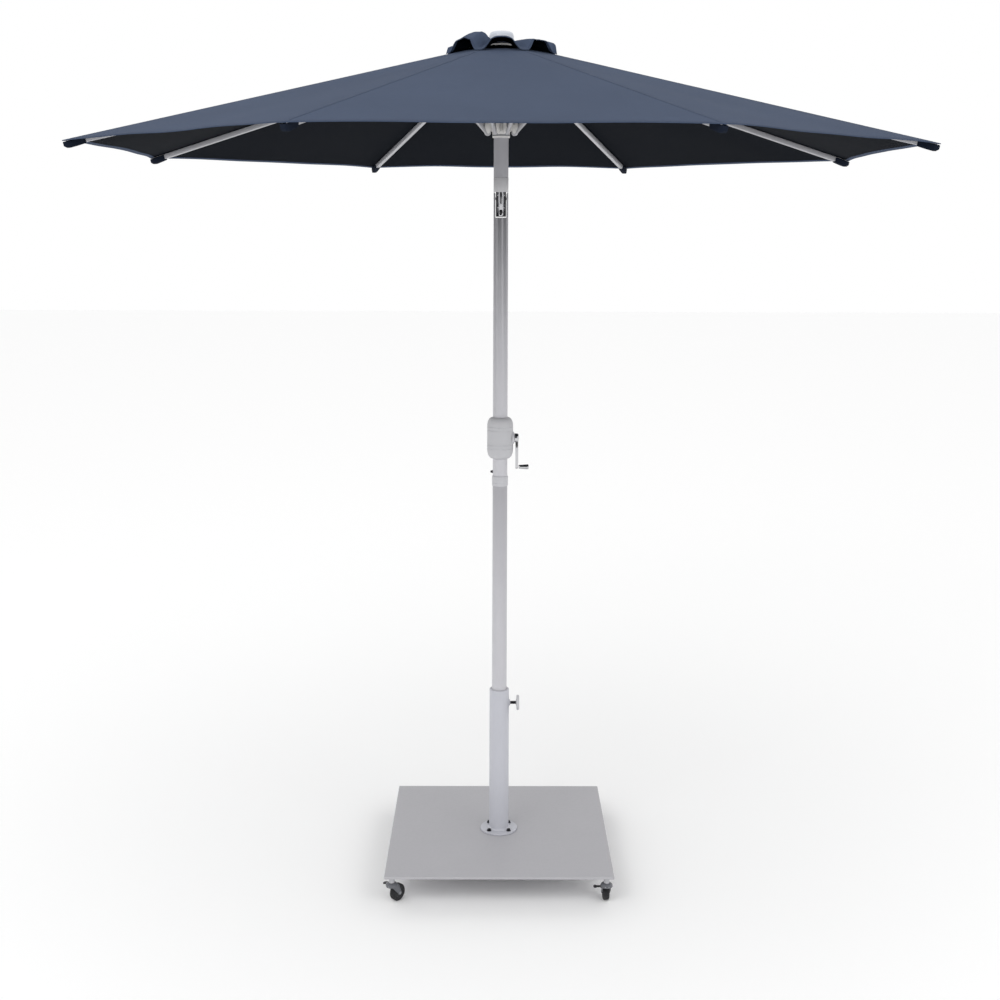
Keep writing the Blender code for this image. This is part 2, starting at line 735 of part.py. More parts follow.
def rib_mesh():
    """A rib along +X that falls at the canopy's slope, with its hub pin at the origin.
    It is built level and then turned. The stretcher bracket hangs below it."""
    start = 0.020
    half_w, half_d = RIB_WIDTH / 2, RIB_DEPTH / 2
    tube = rounded(
        block((start, -half_w, -half_d), (RIB_LENGTH, half_w, half_d)), 0.003, 2
    )
    wall = RIB_WALL
    inside = block(
        (start + 0.012, wall - half_w, wall - half_d),
        (RIB_LENGTH + 0.01, half_w - wall, half_d - wall),
    )
    eye = plate(
        [(start + 0.006, -half_d + 0.001), (start + 0.006, half_d - 0.001), *arc((0, 0), 0.0075, 90, 270, 8)],
        BLADE,
    )
    pin_hole = rod((0, -0.01, 0), (0, 0.01, 0), PIN_RADIUS + FIT, sides=8)
    tube = combine(tube, [eye], [inside, pin_hole])
    reach, drop = BRACKET_REACH, BRACKET_DROP
    ear = [
        (reach + 0.020, -half_d + 0.002),
        (reach - 0.020, -half_d + 0.002),
        *arc((reach, -drop), 0.0065, 215, 325, 4),
    ]
    gap = BLADE + 0.0008
    ears = [moved(plate(ear, 0.0034), (0, s * (gap + 0.0034) / 2, 0)) for s in (-1, 1)]
    pin = moved(rod((0, -0.0075, 0), (0, 0.0075, 0), PIN_RADIUS, sides=8), (reach, 0, -drop))
    mesh = combine(tube, [*ears, pin])
    mesh.transform(Matrix.Rotation(RIB_ANGLE, 4, "Y"))
    return mesh


def stretcher_mesh():
    """A stretcher from its bracket pin at the origin down to the runner, in the rib's plane."""
    foot = Vector((RUNNER_PIVOT[0] - BRACKET_PIN[0], 0, RUNNER_PIVOT[1] - BRACKET_PIN[1]))
    knee = foot + Vector((0.030, 0, 0.032))
    along = knee.normalized()
    angle = atan2(along.z, along.x)
    length = knee.length
    half_w, half_d = STRETCHER_WIDTH / 2, STRETCHER_DEPTH / 2
    tube = rounded(block((0.020, -half_w, -half_d), (length, half_w, half_d)), 0.002, 2)
    inside = block((0.032, 0.001 - half_w, 0.001 - half_d), (length - 0.012, half_w - 0.001, half_d - 0.001))
    drain = block((0.032, -0.002, -0.02), (0.040, 0.002, 0))
    eye = plate(
        [(0.026, -half_d + 0.001), (0.026, half_d - 0.001), *arc((0, 0), 0.0068, 90, 270, 8)],
        BLADE,
    )
    pin_hole = rod((0, -0.01, 0), (0, 0.01, 0), PIN_RADIUS + FIT, sides=8)
    mesh = combine(tube, [eye], [inside, drain, pin_hole])
    mesh.transform(Matrix.Rotation(-angle, 4, "Y"))
    across = Vector((-along.z, 0, along.x))
    root = knee - along * 0.010
    blade = plate(
        [
            (root.x - across.x * 0.005, root.z - across.z * 0.005),
            *arc((foot.x, foot.z), 0.0100, 95, 355, 12),
            (root.x + across.x * 0.005, root.z + across.z * 0.005),
        ],
        STRETCHER_WIDTH - 0.0006,
    )
    return combine(mesh, [blade])


def gore_height(radius, angle):
    """Height of the flat gores' top face at a distance from the axis, and an angle from a rib."""
    slope = CANOPY_SLOPE / cos(SECTOR)
    return CANOPY_PEAK - slope * radius * cos(SECTOR - abs(angle))


def hem_radius(angle):
    """Distance from the axis to the hem, which dips in between two rib tips."""
    from_middle = SECTOR - abs(angle)
    straight = CANOPY_RADIUS * cos(SECTOR)
    share = tan(from_middle) / tan(SECTOR)
    return (straight - HEM_DIP * (1 - share**2)) / cos(from_middle)


def fabric(surface, columns, rows, thickness=FABRIC):
    """A closed sheet with a thickness, from a function of (column, row) fractions, top face up."""
    bm = bmesh.new()
    bmesh.ops.create_grid(bm, x_segments=columns, y_segments=rows, size=0.5)
    for vert in bm.verts:
        vert.co = surface(vert.co.x + 0.5, vert.co.y + 0.5)
    bmesh.ops.recalc_face_normals(bm, faces=bm.faces)
    if sum(face.normal.z for face in bm.faces) < 0:
        bmesh.ops.reverse_faces(bm, faces=bm.faces)
    item = bpy.data.objects.new("sheet", mesh_from(bm))
    bpy.context.scene.collection.objects.link(item)
    solid = item.modifiers.new("thickness", "SOLIDIFY")
    solid.thickness = thickness
    solid.offset = -1
    made = baked(item)
    bpy.data.objects.remove(item)
    return made


def canopy_section_mesh():
    """The canopy from mid-gore to mid-gore about one rib, relative to the rib's hub pin."""
    edge = 0.0002  # half the gap to the next section

    def surface(across, along):
        angle = (across - 0.5) * 2 * SECTOR
        inner = VENT_HOLE * cos(SECTOR) / cos(SECTOR - abs(angle))
        radius = inner + (hem_radius(angle) - inner) * along
        shift = edge * (1 if angle < 0 else -1) if abs(angle) > SECTOR * 0.99 else 0
        return Vector(
            (
                radius * cos(angle) - HUB_PIVOT[0],
                radius * sin(angle) + shift,
                gore_height(radius, angle) - HUB_PIVOT[1],
            )
        )

    return fabric(surface, 6, 2)


def vent_cap():
    """The small octagonal cap over the canopy's open middle, arched up between the ribs."""
    columns = 2 * RIBS * 2
    bm = bmesh.new()
    rings = []
    for radius, lift in ((0.0065, 0.0), (0.036, 0.0), (0.075, 0.15), (0.13, 0.55), (VENT_TIP, 1.0)):
        loop = []
        for i in range(columns):
            angle = SECTOR + i * 2 * pi / columns
            from_rib = abs((angle / (2 * SECTOR) - 0.5 + 0.5) % 1 - 0.5) * 2 * SECTOR
            arch = sin(pi / 2 * from_rib / SECTOR) ** 2 * VENT_ARCH * lift
            level = CANOPY_PEAK - 0.0015 - max(0.0, radius - 0.036) * 0.262
            height = level + arch * (1 if lift else 0)
            reach = radius * (1 - 0.05 * lift * from_rib / SECTOR)
            loop.append(bm.verts.new((reach * cos(angle), reach * sin(angle), height)))
        rings.append(loop)
    edges = []
    for loop in rings:
        edges.append([bm.edges.new((loop[i], loop[(i + 1) % columns])) for i in range(columns)])
    for inner, outer in zip(edges, edges[1:]):
        bmesh.ops.bridge_loops(bm, edges=inner + outer)
    bmesh.ops.recalc_face_normals(bm, faces=bm.faces)
    if sum(face.normal.z for face in bm.faces) < 0:
        bmesh.ops.reverse_faces(bm, faces=bm.faces)
    item = bpy.data.objects.new("sheet", mesh_from(bm))
    bpy.context.scene.collection.objects.link(item)
    solid = item.modifiers.new("thickness", "SOLIDIFY")
    solid.thickness = 0.0012
    solid.offset = 1
    made = baked(item)
    bpy.data.objects.remove(item)
    piece("vent_cap", made, "canopy_fabric")


def canopy_frame():
    rib, stretcher, section = rib_mesh(), stretcher_mesh(), canopy_section_mesh()
    for n, azimuth in enumerate(rib_azimuths(), 1):
        out = Vector((cos(azimuth), sin(azimuth), 0))
        hub_pin = out * HUB_PIVOT[0] + Vector((0, 0, HUB_PIVOT[1]))
        bracket_pin = out * BRACKET_PIN[0] + Vector((0, 0, BRACKET_PIN[1]))
        piece(f"rib_{n}", rib, "rib_grey", at=hub_pin, about_z=azimuth)
        piece(f"stretcher_{n}", stretcher, "rib_grey", at=bracket_pin, about_z=azimuth)
        piece(f"canopy_section_{n}", section, "canopy_fabric", at=hub_pin, about_z=azimuth)


clear_scene()
parts = collection("patio_umbrella")
cutters = collection("cutters")
base_plate()
stem_tube()
flange_bolts()
clamp()
casters()
lower_pole()
snap_button()
main_pole()
crank_housing()
crank()
tilt_joint()
runner()
top_hub()
finial()
vent_cap()
canopy_frame()
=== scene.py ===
"""Looks of the patio umbrella: its finishes, its sewn canopy and the detail of its hardware.

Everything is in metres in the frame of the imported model, with +Z up, the floor at zero and the
crank towards +X. Ribs stand at 22.5 degrees and every 45 degrees from there.
"""

from __future__ import annotations

import json
import logging
from collections.abc import Callable, Iterable, Sequence
from dataclasses import dataclass, field
from enum import Enum
from math import atan2, cos, degrees, hypot, pi, radians, sin, sqrt, tan
from typing import Any, Union

import bmesh
import bpy
from mathutils import Matrix, Vector

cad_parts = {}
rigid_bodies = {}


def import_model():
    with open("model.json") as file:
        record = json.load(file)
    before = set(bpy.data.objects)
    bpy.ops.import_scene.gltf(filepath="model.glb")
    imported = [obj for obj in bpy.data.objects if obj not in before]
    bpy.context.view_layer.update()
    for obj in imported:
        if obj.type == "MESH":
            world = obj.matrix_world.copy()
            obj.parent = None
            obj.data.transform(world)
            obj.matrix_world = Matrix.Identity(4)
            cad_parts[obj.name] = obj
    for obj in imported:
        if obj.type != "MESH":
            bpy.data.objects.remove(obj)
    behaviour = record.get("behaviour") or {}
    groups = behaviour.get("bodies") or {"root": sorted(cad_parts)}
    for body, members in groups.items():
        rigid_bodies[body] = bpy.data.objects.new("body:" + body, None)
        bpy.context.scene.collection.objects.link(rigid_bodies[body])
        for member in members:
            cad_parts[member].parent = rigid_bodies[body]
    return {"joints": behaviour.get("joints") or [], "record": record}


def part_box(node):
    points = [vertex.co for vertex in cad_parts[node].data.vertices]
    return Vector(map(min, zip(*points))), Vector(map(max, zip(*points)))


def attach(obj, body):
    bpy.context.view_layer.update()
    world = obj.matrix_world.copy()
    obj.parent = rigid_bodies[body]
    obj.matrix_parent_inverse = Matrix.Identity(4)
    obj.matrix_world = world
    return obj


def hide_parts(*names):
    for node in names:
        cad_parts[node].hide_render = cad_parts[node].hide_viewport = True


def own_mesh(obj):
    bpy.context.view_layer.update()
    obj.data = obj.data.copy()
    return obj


LOG = logging.getLogger("umbrella")
RIBS = 8
SECTOR = pi / RIBS
ON_X = Matrix.Rotation(pi / 2, 4, "Y")
ON_Y = Matrix.Rotation(pi / 2, 4, "X")

Point = Union[Vector, Sequence[float]]
Colour = tuple[float, float, float]


# ---------------------------------------------------------------- shader expressions
class Signal:
    """A shader output. Python's operators on it add Math nodes."""

    def __init__(self, shader: "Shader", socket: Any) -> None:
        """Wraps one output socket of a shader."""
        self.shader = shader
        self.socket = socket

    def math(self, operation: str, first: Any, second: Any = 0.0) -> "Signal":
        """Adds one Math node and returns its output."""
        return self.shader.node("Math", {"operation": operation}, {0: first, 1: second})

    def __add__(self, other: Any) -> "Signal":
        """Sum with a number or another signal."""
        return self.math("ADD", self, other)

    def __radd__(self, other: Any) -> "Signal":
        """Sum, reflected."""
        return self.math("ADD", other, self)

    def __sub__(self, other: Any) -> "Signal":
        """Difference."""
        return self.math("SUBTRACT", self, other)

    def __mul__(self, other: Any) -> "Signal":
        """Product."""
        return self.math("MULTIPLY", self, other)

    def sine(self) -> "Signal":
        """Sine of the signal."""
        return self.math("SINE", self)


class Shader:
    """A material with a Principled shader, and short ways to add nodes to it."""

    def __init__(self, name: str) -> None:
        """Makes the material and finds its shader node."""
        self.material = bpy.data.materials.new(name)
        self.material.use_nodes = True
        self.tree = self.material.node_tree
        self.surface = self.tree.nodes["Principled BSDF"]

    def link(self, socket: Any, value: Any) -> None:
        """Puts a signal, a number or a colour into an input socket."""
        if isinstance(value, Signal):
            self.tree.links.new(value.socket, socket)
        elif isinstance(value, tuple) and len(value) == 3 and socket.type == "RGBA":
            socket.default_value = (*value, 1.0)
        else:
            socket.default_value = value

    def node(
        self,
        kind: str,
        settings: dict[str, Any] | None = None,
        inputs: dict[Any, Any] | None = None,
        output: Any = 0,
    ) -> Signal:
        """Adds a node.

        Args:
            kind: the node's type, without its ShaderNode prefix.
            settings: its properties, with "stops" for a ramp's positions and greys.
            inputs: its sockets' values or signals, by name or number.
            output: the output to return, by name or number.

        Returns:
            The chosen output.
        """
        node = self.tree.nodes.new("ShaderNode" + kind)
        for key, value in (settings or {}).items():
            if key == "stops":
                for element, (at, grey) in zip(node.color_ramp.elements, value):
                    element.position = at
                    element.color = (grey, grey, grey, 1.0)
            else:
                setattr(node, key, value)
        for key, value in (inputs or {}).items():
            self.link(node.inputs[key], value)
        return Signal(self, node.outputs[output])

    def set(self, **values: Any) -> None:
        """Sets the shader's sockets. An underscore in a name stands for a space."""
        for name, value in values.items():
            self.link(self.surface.inputs[name.replace("_", " ").title().replace("Ior", "IOR")], value)

    def place(self) -> Signal:
        """Object coordinates, in metres."""
        return self.node("TexCoord", output="Object")

    def noise(self, at: Signal, scale: float, detail: float = 2.0) -> Signal:
        """Noise from zero to one, with a scale in features per metre."""
        return self.node("TexNoise", {}, {"Vector": at, "Scale": scale, "Detail": detail}, "Fac")

    def stretched(self, at: Signal, scale: Sequence[float]) -> Signal:
        """Coordinates scaled differently along each axis."""
        return self.node("Mapping", {}, {"Vector": at, "Scale": tuple(scale)})

    def mix(self, factor: Any, low: Colour | Signal, high: Colour | Signal) -> Signal:
        """A colour between two others."""
        return self.node("Mix", {"data_type": "RGBA"}, {0: factor, 6: low, 7: high}, output=2)

    def relief(self, height: Signal, depth: float, strength: float = 1.0) -> None:
        """Bumps the surface by a height of the given depth, in metres."""
        bump = self.node("Bump", {}, {"Height": height, "Distance": depth, "Strength": strength})
        self.link(self.surface.inputs["Normal"], bump)


def shade(colour: Colour, factor: float) -> Colour:
    """The colour made lighter or darker."""
    return tuple(min(1.0, part * factor) for part in colour)


# ---------------------------------------------------------------- finishes
@dataclass(frozen=True)
class Finish:
    """What a surface is made of. Each finish makes its material once."""

    name: str
    colour: Colour
    roughness: float = 0.4

    def material(self) -> bpy.types.Material:
        """The finish's material."""
        found = bpy.data.materials.get(self.name)
        if found:
            return found
        shader = Shader(self.name)
        self.dress(shader)
        return shader.material

    def dress(self, shader: Shader) -> None:
        """Gives the shader its colour, gloss and relief."""
        shader.set(base_color=self.colour, roughness=self.roughness)


@dataclass(frozen=True)
class PowderCoat(Finish):
    """Baked paint on metal, with a fine orange peel and a little dust."""

    peel: float = 900.0
    speck: float = 0.05

    def dress(self, shader: Shader) -> None:
        """Clouds the colour slightly and roughens the gloss in patches."""
        at = shader.place()
        cloud = shader.noise(at, 7.0, 4.0)
        dust = shader.noise(shader.stretched(at, (1, 1, 0.25)), 160.0, 3.0)
        tone = shader.mix(
            cloud, shade(self.colour, 1 - self.speck), shade(self.colour, 1 + self.speck)
        )
        shader.set(
            base_color=shader.mix((dust - 0.45) * 0.5, tone, shade(self.colour, 0.86)),
            roughness=self.roughness + (dust - 0.5) * 0.22, coat_weight=0.06,
        )
        shader.relief(shader.noise(at, self.peel, 1.5), 0.00007, 0.35)


@dataclass(frozen=True)
class Moulding(Finish):
    """Moulded plastic with a fine spark-eroded grain."""

    grain: float = 2200.0

    def dress(self, shader: Shader) -> None:
        """Adds flow marks to the colour and a grain to the relief."""
        at = shader.place()
        flow = shader.noise(shader.stretched(at, (1, 1, 3)), 22.0, 3.0)
        grain = shader.noise(at, self.grain, 2.0)
        shader.set(
            base_color=shader.mix(flow, shade(self.colour, 0.95), shade(self.colour, 1.04)),
            roughness=self.roughness + (grain - 0.5) * 0.2 + (flow - 0.5) * 0.08,
        )
        shader.relief(grain, 0.00005, 0.4)


@dataclass(frozen=True)
class Plating(Finish):
    """Bare or plated metal, with brushing along one axis and finger smudges."""

    brush: tuple[float, float, float] = (1.0, 1.0, 1.0)

    def dress(self, shader: Shader) -> None:
        """Breaks up the reflection with brush lines and smudges."""
        at = shader.place()
        lines = shader.noise(shader.stretched(at, self.brush), 900.0, 2.0)
        smudge = shader.noise(at, 45.0, 3.0)
        shader.set(
            base_color=shader.mix(smudge, shade(self.colour, 0.88), self.colour), metallic=1.0,
            roughness=self.roughness + (smudge - 0.5) * 0.16 + (lines - 0.5) * 0.1,
        )
        shader.relief(lines, 0.00002, 0.3)


@dataclass(frozen=True)
class Rubber(Finish):
    """Moulded rubber with scuffs and dust."""

    def dress(self, shader: Shader) -> None:
        """Lightens the scuffed patches."""
        at = shader.place()
        scuff = shader.node(
            "ValToRGB", {"stops": ((0.45, 0.0), (0.75, 1.0))},
            {"Fac": shader.noise(at, 190.0, 5.0)},
        )
        shader.set(
            base_color=shader.mix(scuff, self.colour, shade(self.colour, 3.2)),
            roughness=self.roughness + shader.noise(at, 500.0) * 0.15,
        )
        shader.relief(shader.noise(at, 1300.0, 3.0), 0.00012, 0.5)


@dataclass(frozen=True)
class Cloth(Finish):
    """Woven polyester that reads the piece's own map, whose unit is a metre of cloth."""

    thread: float = 0.0009
    sheen: float = 0.12

    def dress(self, shader: Shader) -> None:
        """Weaves two sets of threads, with slubs along each and a faint cloud of fading."""
        cloth = shader.node("UVMap", {"uv_map": "cloth"})
        turns = 2 * pi / self.thread
        axes = [shader.node("SeparateXYZ", {}, {0: cloth}, output=axis) for axis in ("X", "Y")]
        across, along = ((axis * turns).sine() for axis in axes)
        weave = across * along
        slub_down = shader.noise(shader.stretched(cloth, (420, 9, 1)), 1.0, 3.0)
        slub_across = shader.noise(shader.stretched(cloth, (9, 420, 1)), 1.0, 3.0)
        slubs = slub_down + slub_across - 1.0
        fade = shader.noise(shader.place(), 2.3, 5.0)
        mottled = 0.5 + slubs * 0.9 + (fade - 0.5) * 0.9 + weave * 0.10
        shader.set(
            base_color=shader.mix(mottled, shade(self.colour, 0.84), shade(self.colour, 1.14)),
            roughness=self.roughness + slubs * 0.1, sheen_weight=self.sheen, sheen_roughness=0.5,
            specular_ior_level=0.08,
        )
        shader.relief(weave * 0.6 + slubs * 1.3, 0.00016, 0.55)


POLE_PAINT = PowderCoat("pole_paint", (0.515, 0.511, 0.540), 0.42)
JOINT_PAINT = PowderCoat("joint_paint", (0.59, 0.585, 0.605), 0.45)
UPPER_PAINT = PowderCoat("upper_pole_paint", (0.425, 0.423, 0.452), 0.45)
PLATE_PAINT = PowderCoat("plate_paint", (0.425, 0.421, 0.444), 0.6, peel=600.0, speck=0.035)
STEM_PAINT = PowderCoat("stem_paint", (0.500, 0.506, 0.552), 0.42)
RIB_PAINT = PowderCoat("rib_paint", (0.42, 0.42, 0.445), 0.40)
LIGHT_PLASTIC = Moulding("light_plastic", (0.50, 0.50, 0.525), 0.38)
HOUSING_PLASTIC = Moulding("housing_plastic", (0.470, 0.470, 0.490), 0.48)
HUB_PLASTIC = Moulding("hub_plastic", (0.66, 0.65, 0.64), 0.45)
FINIAL_PLASTIC = Moulding("finial_plastic", (0.57, 0.60, 0.66), 0.30, grain=900.0)
BLACK_PLASTIC = Moulding("black_plastic", (0.020, 0.020, 0.023), 0.38)
CHROME = Plating("chrome", (0.60, 0.60, 0.62), 0.09)
ZINC = Plating("zinc", (0.42, 0.43, 0.45), 0.34, brush=(1, 1, 8))
DARK_STEEL = Plating("dark_steel", (0.07, 0.07, 0.08), 0.34)
FORK_ENAMEL = PowderCoat("fork_enamel", (0.13, 0.135, 0.15), 0.34)
TYRE_RUBBER = Rubber("tyre_rubber", (0.010, 0.010, 0.012), 0.55)
CANOPY_CLOTH = Cloth("canopy_cloth", (0.059, 0.080, 0.130), 0.9, sheen=0.02)
# Painted shade: the canopy's underside is made near black for the shade under it, far darker than the
# cloth's own colour.
UNDERSIDE_SHADE_CLOTH = Cloth("canopy_lining", (0.0020, 0.0036, 0.0070), 0.95, sheen=0.0)
BINDING_CLOTH = Cloth("canopy_binding", (0.050, 0.068, 0.112), 0.88, sheen=0.02)
# Painted shade: the tip pockets are made far darker than the canopy's cloth, for the shadow they sit
# in.
SHADED_POCKET_CLOTH = Cloth("pocket_cloth", (0.0090, 0.0130, 0.0240), 0.9, sheen=0.0)
# Painted shade: a near-black sheet under the vent cap stands in for the shade inside the vent.
VENT_SHADE_CLOTH = Cloth("vent_mesh", (0.0030, 0.0034, 0.0042), 0.95, thread=0.0016, sheen=0.0)
STITCHES = Moulding("stitches", (0.085, 0.105, 0.15), 0.6)


# ---------------------------------------------------------------- shapes
class Shape:
    """A mesh being modelled with bmesh operators."""

    def __init__(self) -> None:
        """Starts empty."""
        self.bm = bmesh.new()

    @staticmethod
    def box(low: Point, high: Point, edge: float = 0.0, segments: int = 3) -> "Shape":
        """A box between two corners, with rounded edges."""
        shape = Shape()
        bmesh.ops.create_cube(shape.bm, size=1.0)
        low, high = Vector(low), Vector(high)
        bmesh.ops.scale(shape.bm, vec=high - low, verts=shape.bm.verts)
        bmesh.ops.translate(shape.bm, vec=(low + high) / 2, verts=shape.bm.verts)
        return shape.rounded(edge, segments)

    @staticmethod
    def rod(
        start: Point,
        end: Point,
        radius: float,
        end_radius: float | None = None,
        sides: int = 32,
        edge: float = 0.0,
    ) -> "Shape":
        """A round bar or cone between two points, with rounded rims."""
        shape = Shape()
        start, end = Vector(start), Vector(end)
        bmesh.ops.create_cone(
            shape.bm, cap_ends=True, segments=sides, radius1=radius,
            radius2=radius if end_radius is None else end_radius, depth=(end - start).length,
        )
        turn = Vector((0, 0, 1)).rotation_difference(end - start).to_matrix().to_4x4()
        shape.placed(Matrix.Translation((start + end) / 2) @ turn)
        return shape.rounded(edge, 2)

    @staticmethod
    def turned(
        profile: Iterable[tuple[float, float]],
        sides: int = 64,
        sweep: float = 2 * pi,
        ring: bool = False,
    ) -> "Shape":
        """A profile of (radius, height) points spun about Z.

        Args:
            profile: the points, in order. A ring's profile is a closed loop off the axis.
            sides: steps of the spin.
            sweep: the angle of the spin. A part turn gets end faces.
            ring: whether the last point joins the first.

        Returns:
            The turned shape.
        """
        shape = Shape()
        verts = [shape.bm.verts.new((radius, 0, height)) for radius, height in profile]
        pairs = list(zip(verts, verts[1:]))
        if ring:
            pairs.append((verts[-1], verts[0]))
        edges = [shape.bm.edges.new(pair) for pair in pairs]
        whole = sweep > 1.99 * pi
        bmesh.ops.spin(
            shape.bm, geom=verts + edges, axis=(0, 0, 1), angle=sweep, steps=sides, use_merge=whole,
        )
        bmesh.ops.remove_doubles(shape.bm, verts=shape.bm.verts, dist=0.000001)
        if not whole:
            rim = [edge for edge in shape.bm.edges if edge.is_boundary]
            bmesh.ops.holes_fill(shape.bm, edges=rim, sides=0)
        bmesh.ops.recalc_face_normals(shape.bm, faces=shape.bm.faces)
        return shape

    @staticmethod
    def ring(sides: int, *profile: tuple[float, float]) -> "Shape":
        """A closed profile of (radius, height) points off the axis, spun about Z."""
        return Shape.turned(profile, sides, ring=True)

    @staticmethod
    def plate(outline: Iterable[tuple[float, float]], thickness: float, edge: float = 0.0) -> "Shape":
        """A flat outline of (x, z) points given a thickness about the plane across Y."""
        shape = Shape()
        corners = [shape.bm.verts.new((x, -thickness / 2, z)) for x, z in outline]
        face = shape.bm.faces.new(corners)
        grown = bmesh.ops.extrude_face_region(shape.bm, geom=[face])["geom"]
        bmesh.ops.translate(
            shape.bm, vec=(0, thickness, 0),
            verts=[item for item in grown if isinstance(item, bmesh.types.BMVert)],
        )
        bmesh.ops.recalc_face_normals(shape.bm, faces=shape.bm.faces)
        return shape.rounded(edge, 2)

    @staticmethod
    def dome(at: Point, radius: float, height: float, along: Point, sides: int = 20) -> "Shape":
        """A low round rivet head that stands on a point."""
        steps = 5
        profile = [
            (radius * cos(pi / 2 * i / steps), height * sin(pi / 2 * i / steps))
            for i in range(steps + 1)
        ]
        shape = Shape.turned([(0, -height * 0.4), (radius, -height * 0.4), *profile], sides)
        turn = Vector((0, 0, 1)).rotation_difference(Vector(along)).to_matrix().to_4x4()
        return shape.placed(Matrix.Translation(at) @ turn)

    @staticmethod
    def from_node(name: str) -> "Shape":
        """A copy of a CAD node's mesh, with its loose triangles merged."""
        shape = Shape()
        shape.bm.from_mesh(bpy.data.objects[name].data)
        bmesh.ops.remove_doubles(shape.bm, verts=shape.bm.verts, dist=0.000004)
        return shape

    @staticmethod
    def surface(
        point: Callable[[float, float], Vector], columns: int, rows: int
    ) -> "Shape":
        """A grid laid on a surface that is given by fractions across and along, facing up.
        Its map holds each point's y and x, in metres."""
        shape = Shape()
        bmesh.ops.create_grid(shape.bm, x_segments=columns, y_segments=rows, size=0.5)
        for vert in shape.bm.verts:
            vert.co = point(vert.co.x + 0.5, vert.co.y + 0.5)
        bmesh.ops.recalc_face_normals(shape.bm, faces=shape.bm.faces)
        return shape.facing_up().mapped()

    def facing_up(self) -> "Shape":
        """Turns an open surface over if it faces down."""
        if sum(face.normal.z for face in self.bm.faces) < 0:
            bmesh.ops.reverse_faces(self.bm, faces=self.bm.faces)
        return self

    def mapped(self, depth: float = 0.0) -> "Shape":
        """Gives the shape its cloth map: y with a share of the depth, and x, in metres."""
        cloth = self.bm.loops.layers.uv.new("cloth")
        for face in self.bm.faces:
            for loop in face.loops:
                at = loop.vert.co
                loop[cloth].uv = (at.y + depth * at.z, at.x)
        return self

    def area(self) -> float:
        """The area of all faces."""
        return sum(face.calc_area() for face in self.bm.faces)

    def rounded(self, edge: float, segments: int = 3, angle: float = 40) -> "Shape":
        """Rounds the edges that are sharper than an angle in degrees."""
        if edge > 0:
            sharp = [
                item
                for item in self.bm.edges
                if item.is_manifold and item.calc_face_angle() > radians(angle)
            ]
            bmesh.ops.bevel(
                self.bm, geom=sharp, offset=edge, segments=segments, profile=0.5, affect="EDGES",
                material=-1, clamp_overlap=True,
            )
        return self

    def placed(self, matrix: Matrix) -> "Shape":
        """Moves the whole shape by a matrix."""
        bmesh.ops.transform(self.bm, matrix=matrix, verts=self.bm.verts)
        return self

    def moved(self, offset: Point) -> "Shape":
        """Moves the whole shape."""
        return self.placed(Matrix.Translation(offset))

    def joined(self, *others: "Shape") -> "Shape":
        """Adds other shapes to this one, which takes them over."""
        for other in others:
            mesh = bpy.data.meshes.new("joined")
            other.bm.to_mesh(mesh)
            other.bm.free()
            self.bm.from_mesh(mesh)
            bpy.data.meshes.remove(mesh)
        return self

    def repeated(self, matrices: Iterable[Matrix]) -> "Shape":
        """Copies of this shape at each place, joined into one."""
        mesh = bpy.data.meshes.new("repeated")
        self.bm.to_mesh(mesh)
        self.bm.clear()
        for matrix in matrices:
            mesh.transform(matrix)
            self.bm.from_mesh(mesh)
            mesh.transform(matrix.inverted())
        bpy.data.meshes.remove(mesh)
        return self

    def piece(
        self,
        name: str,
        finish: Finish,
        body: str,
        replaces: Sequence[str] = (),
        slot: str | None = None,
        smooth: float = 34,
        wall: float = 0.0,
        inner_finish: Finish | None = None,
        shift: float = -1.0,
    ) -> bpy.types.Object:
        """Makes the finished object.

        Args:
            name: the piece's name.
            finish: its finish.
            body: the CAD body it rides on.
            replaces: the CAD nodes it stands for.
            slot: not used.
            smooth: the angle in degrees above which an edge stays sharp.
            wall: a thickness to give to an open surface.
            inner_finish: the finish of the inner side of that wall, which on the canopy is a
                near-black painted shade.
            shift: where the surface lies in the wall, from -1 at its top to 1 at its foot.

        Returns:
            The object, placed and riding.
        """
        mesh = bpy.data.meshes.new(name)
        self.bm.to_mesh(mesh)
        self.bm.free()
        mesh.materials.append(finish.material())
        item = bpy.data.objects.new(name, mesh)
        bpy.context.scene.collection.objects.link(item)
        if wall:
            mesh.materials.append((inner_finish or finish).material())
            solid = item.modifiers.new("wall", "SOLIDIFY")
            solid.thickness, solid.offset, solid.material_offset = wall, shift, 1
            bpy.context.view_layer.update()
            graph = bpy.context.evaluated_depsgraph_get()
            item.data = bpy.data.meshes.new_from_object(item.evaluated_get(graph))
            item.modifiers.clear()
        item.data.shade_smooth()
        item.data.set_sharp_from_angle(angle=radians(smooth))
        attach(item, body)
        if replaces:
            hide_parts(*replaces)
        LOG.info("%s rides on %s", name, body)
        return item


def arc(
    centre: tuple[float, float], radius: float, start: float, end: float, steps: int
) -> list[tuple[float, float]]:
    """Points on an arc in a plane, from one angle in degrees to another."""
    return [
        (
            centre[0] + radius * cos(radians(start + (end - start) * i / steps)),
            centre[1] + radius * sin(radians(start + (end - start) * i / steps)),
        )
        for i in range(steps + 1)
    ]


def smooth(share: float) -> float:
    """An even rise from zero to one."""
    share = min(1.0, max(0.0, share))
    return share * share * (3 - 2 * share)


def about_z(angle: float) -> Matrix:
    """A turn about the pole's axis."""
    return Matrix.Rotation(angle, 4, "Z")


def azimuth(rib: int) -> float:
    """The direction of a rib, numbered from 1."""
    return SECTOR + (rib - 1) * 2 * SECTOR


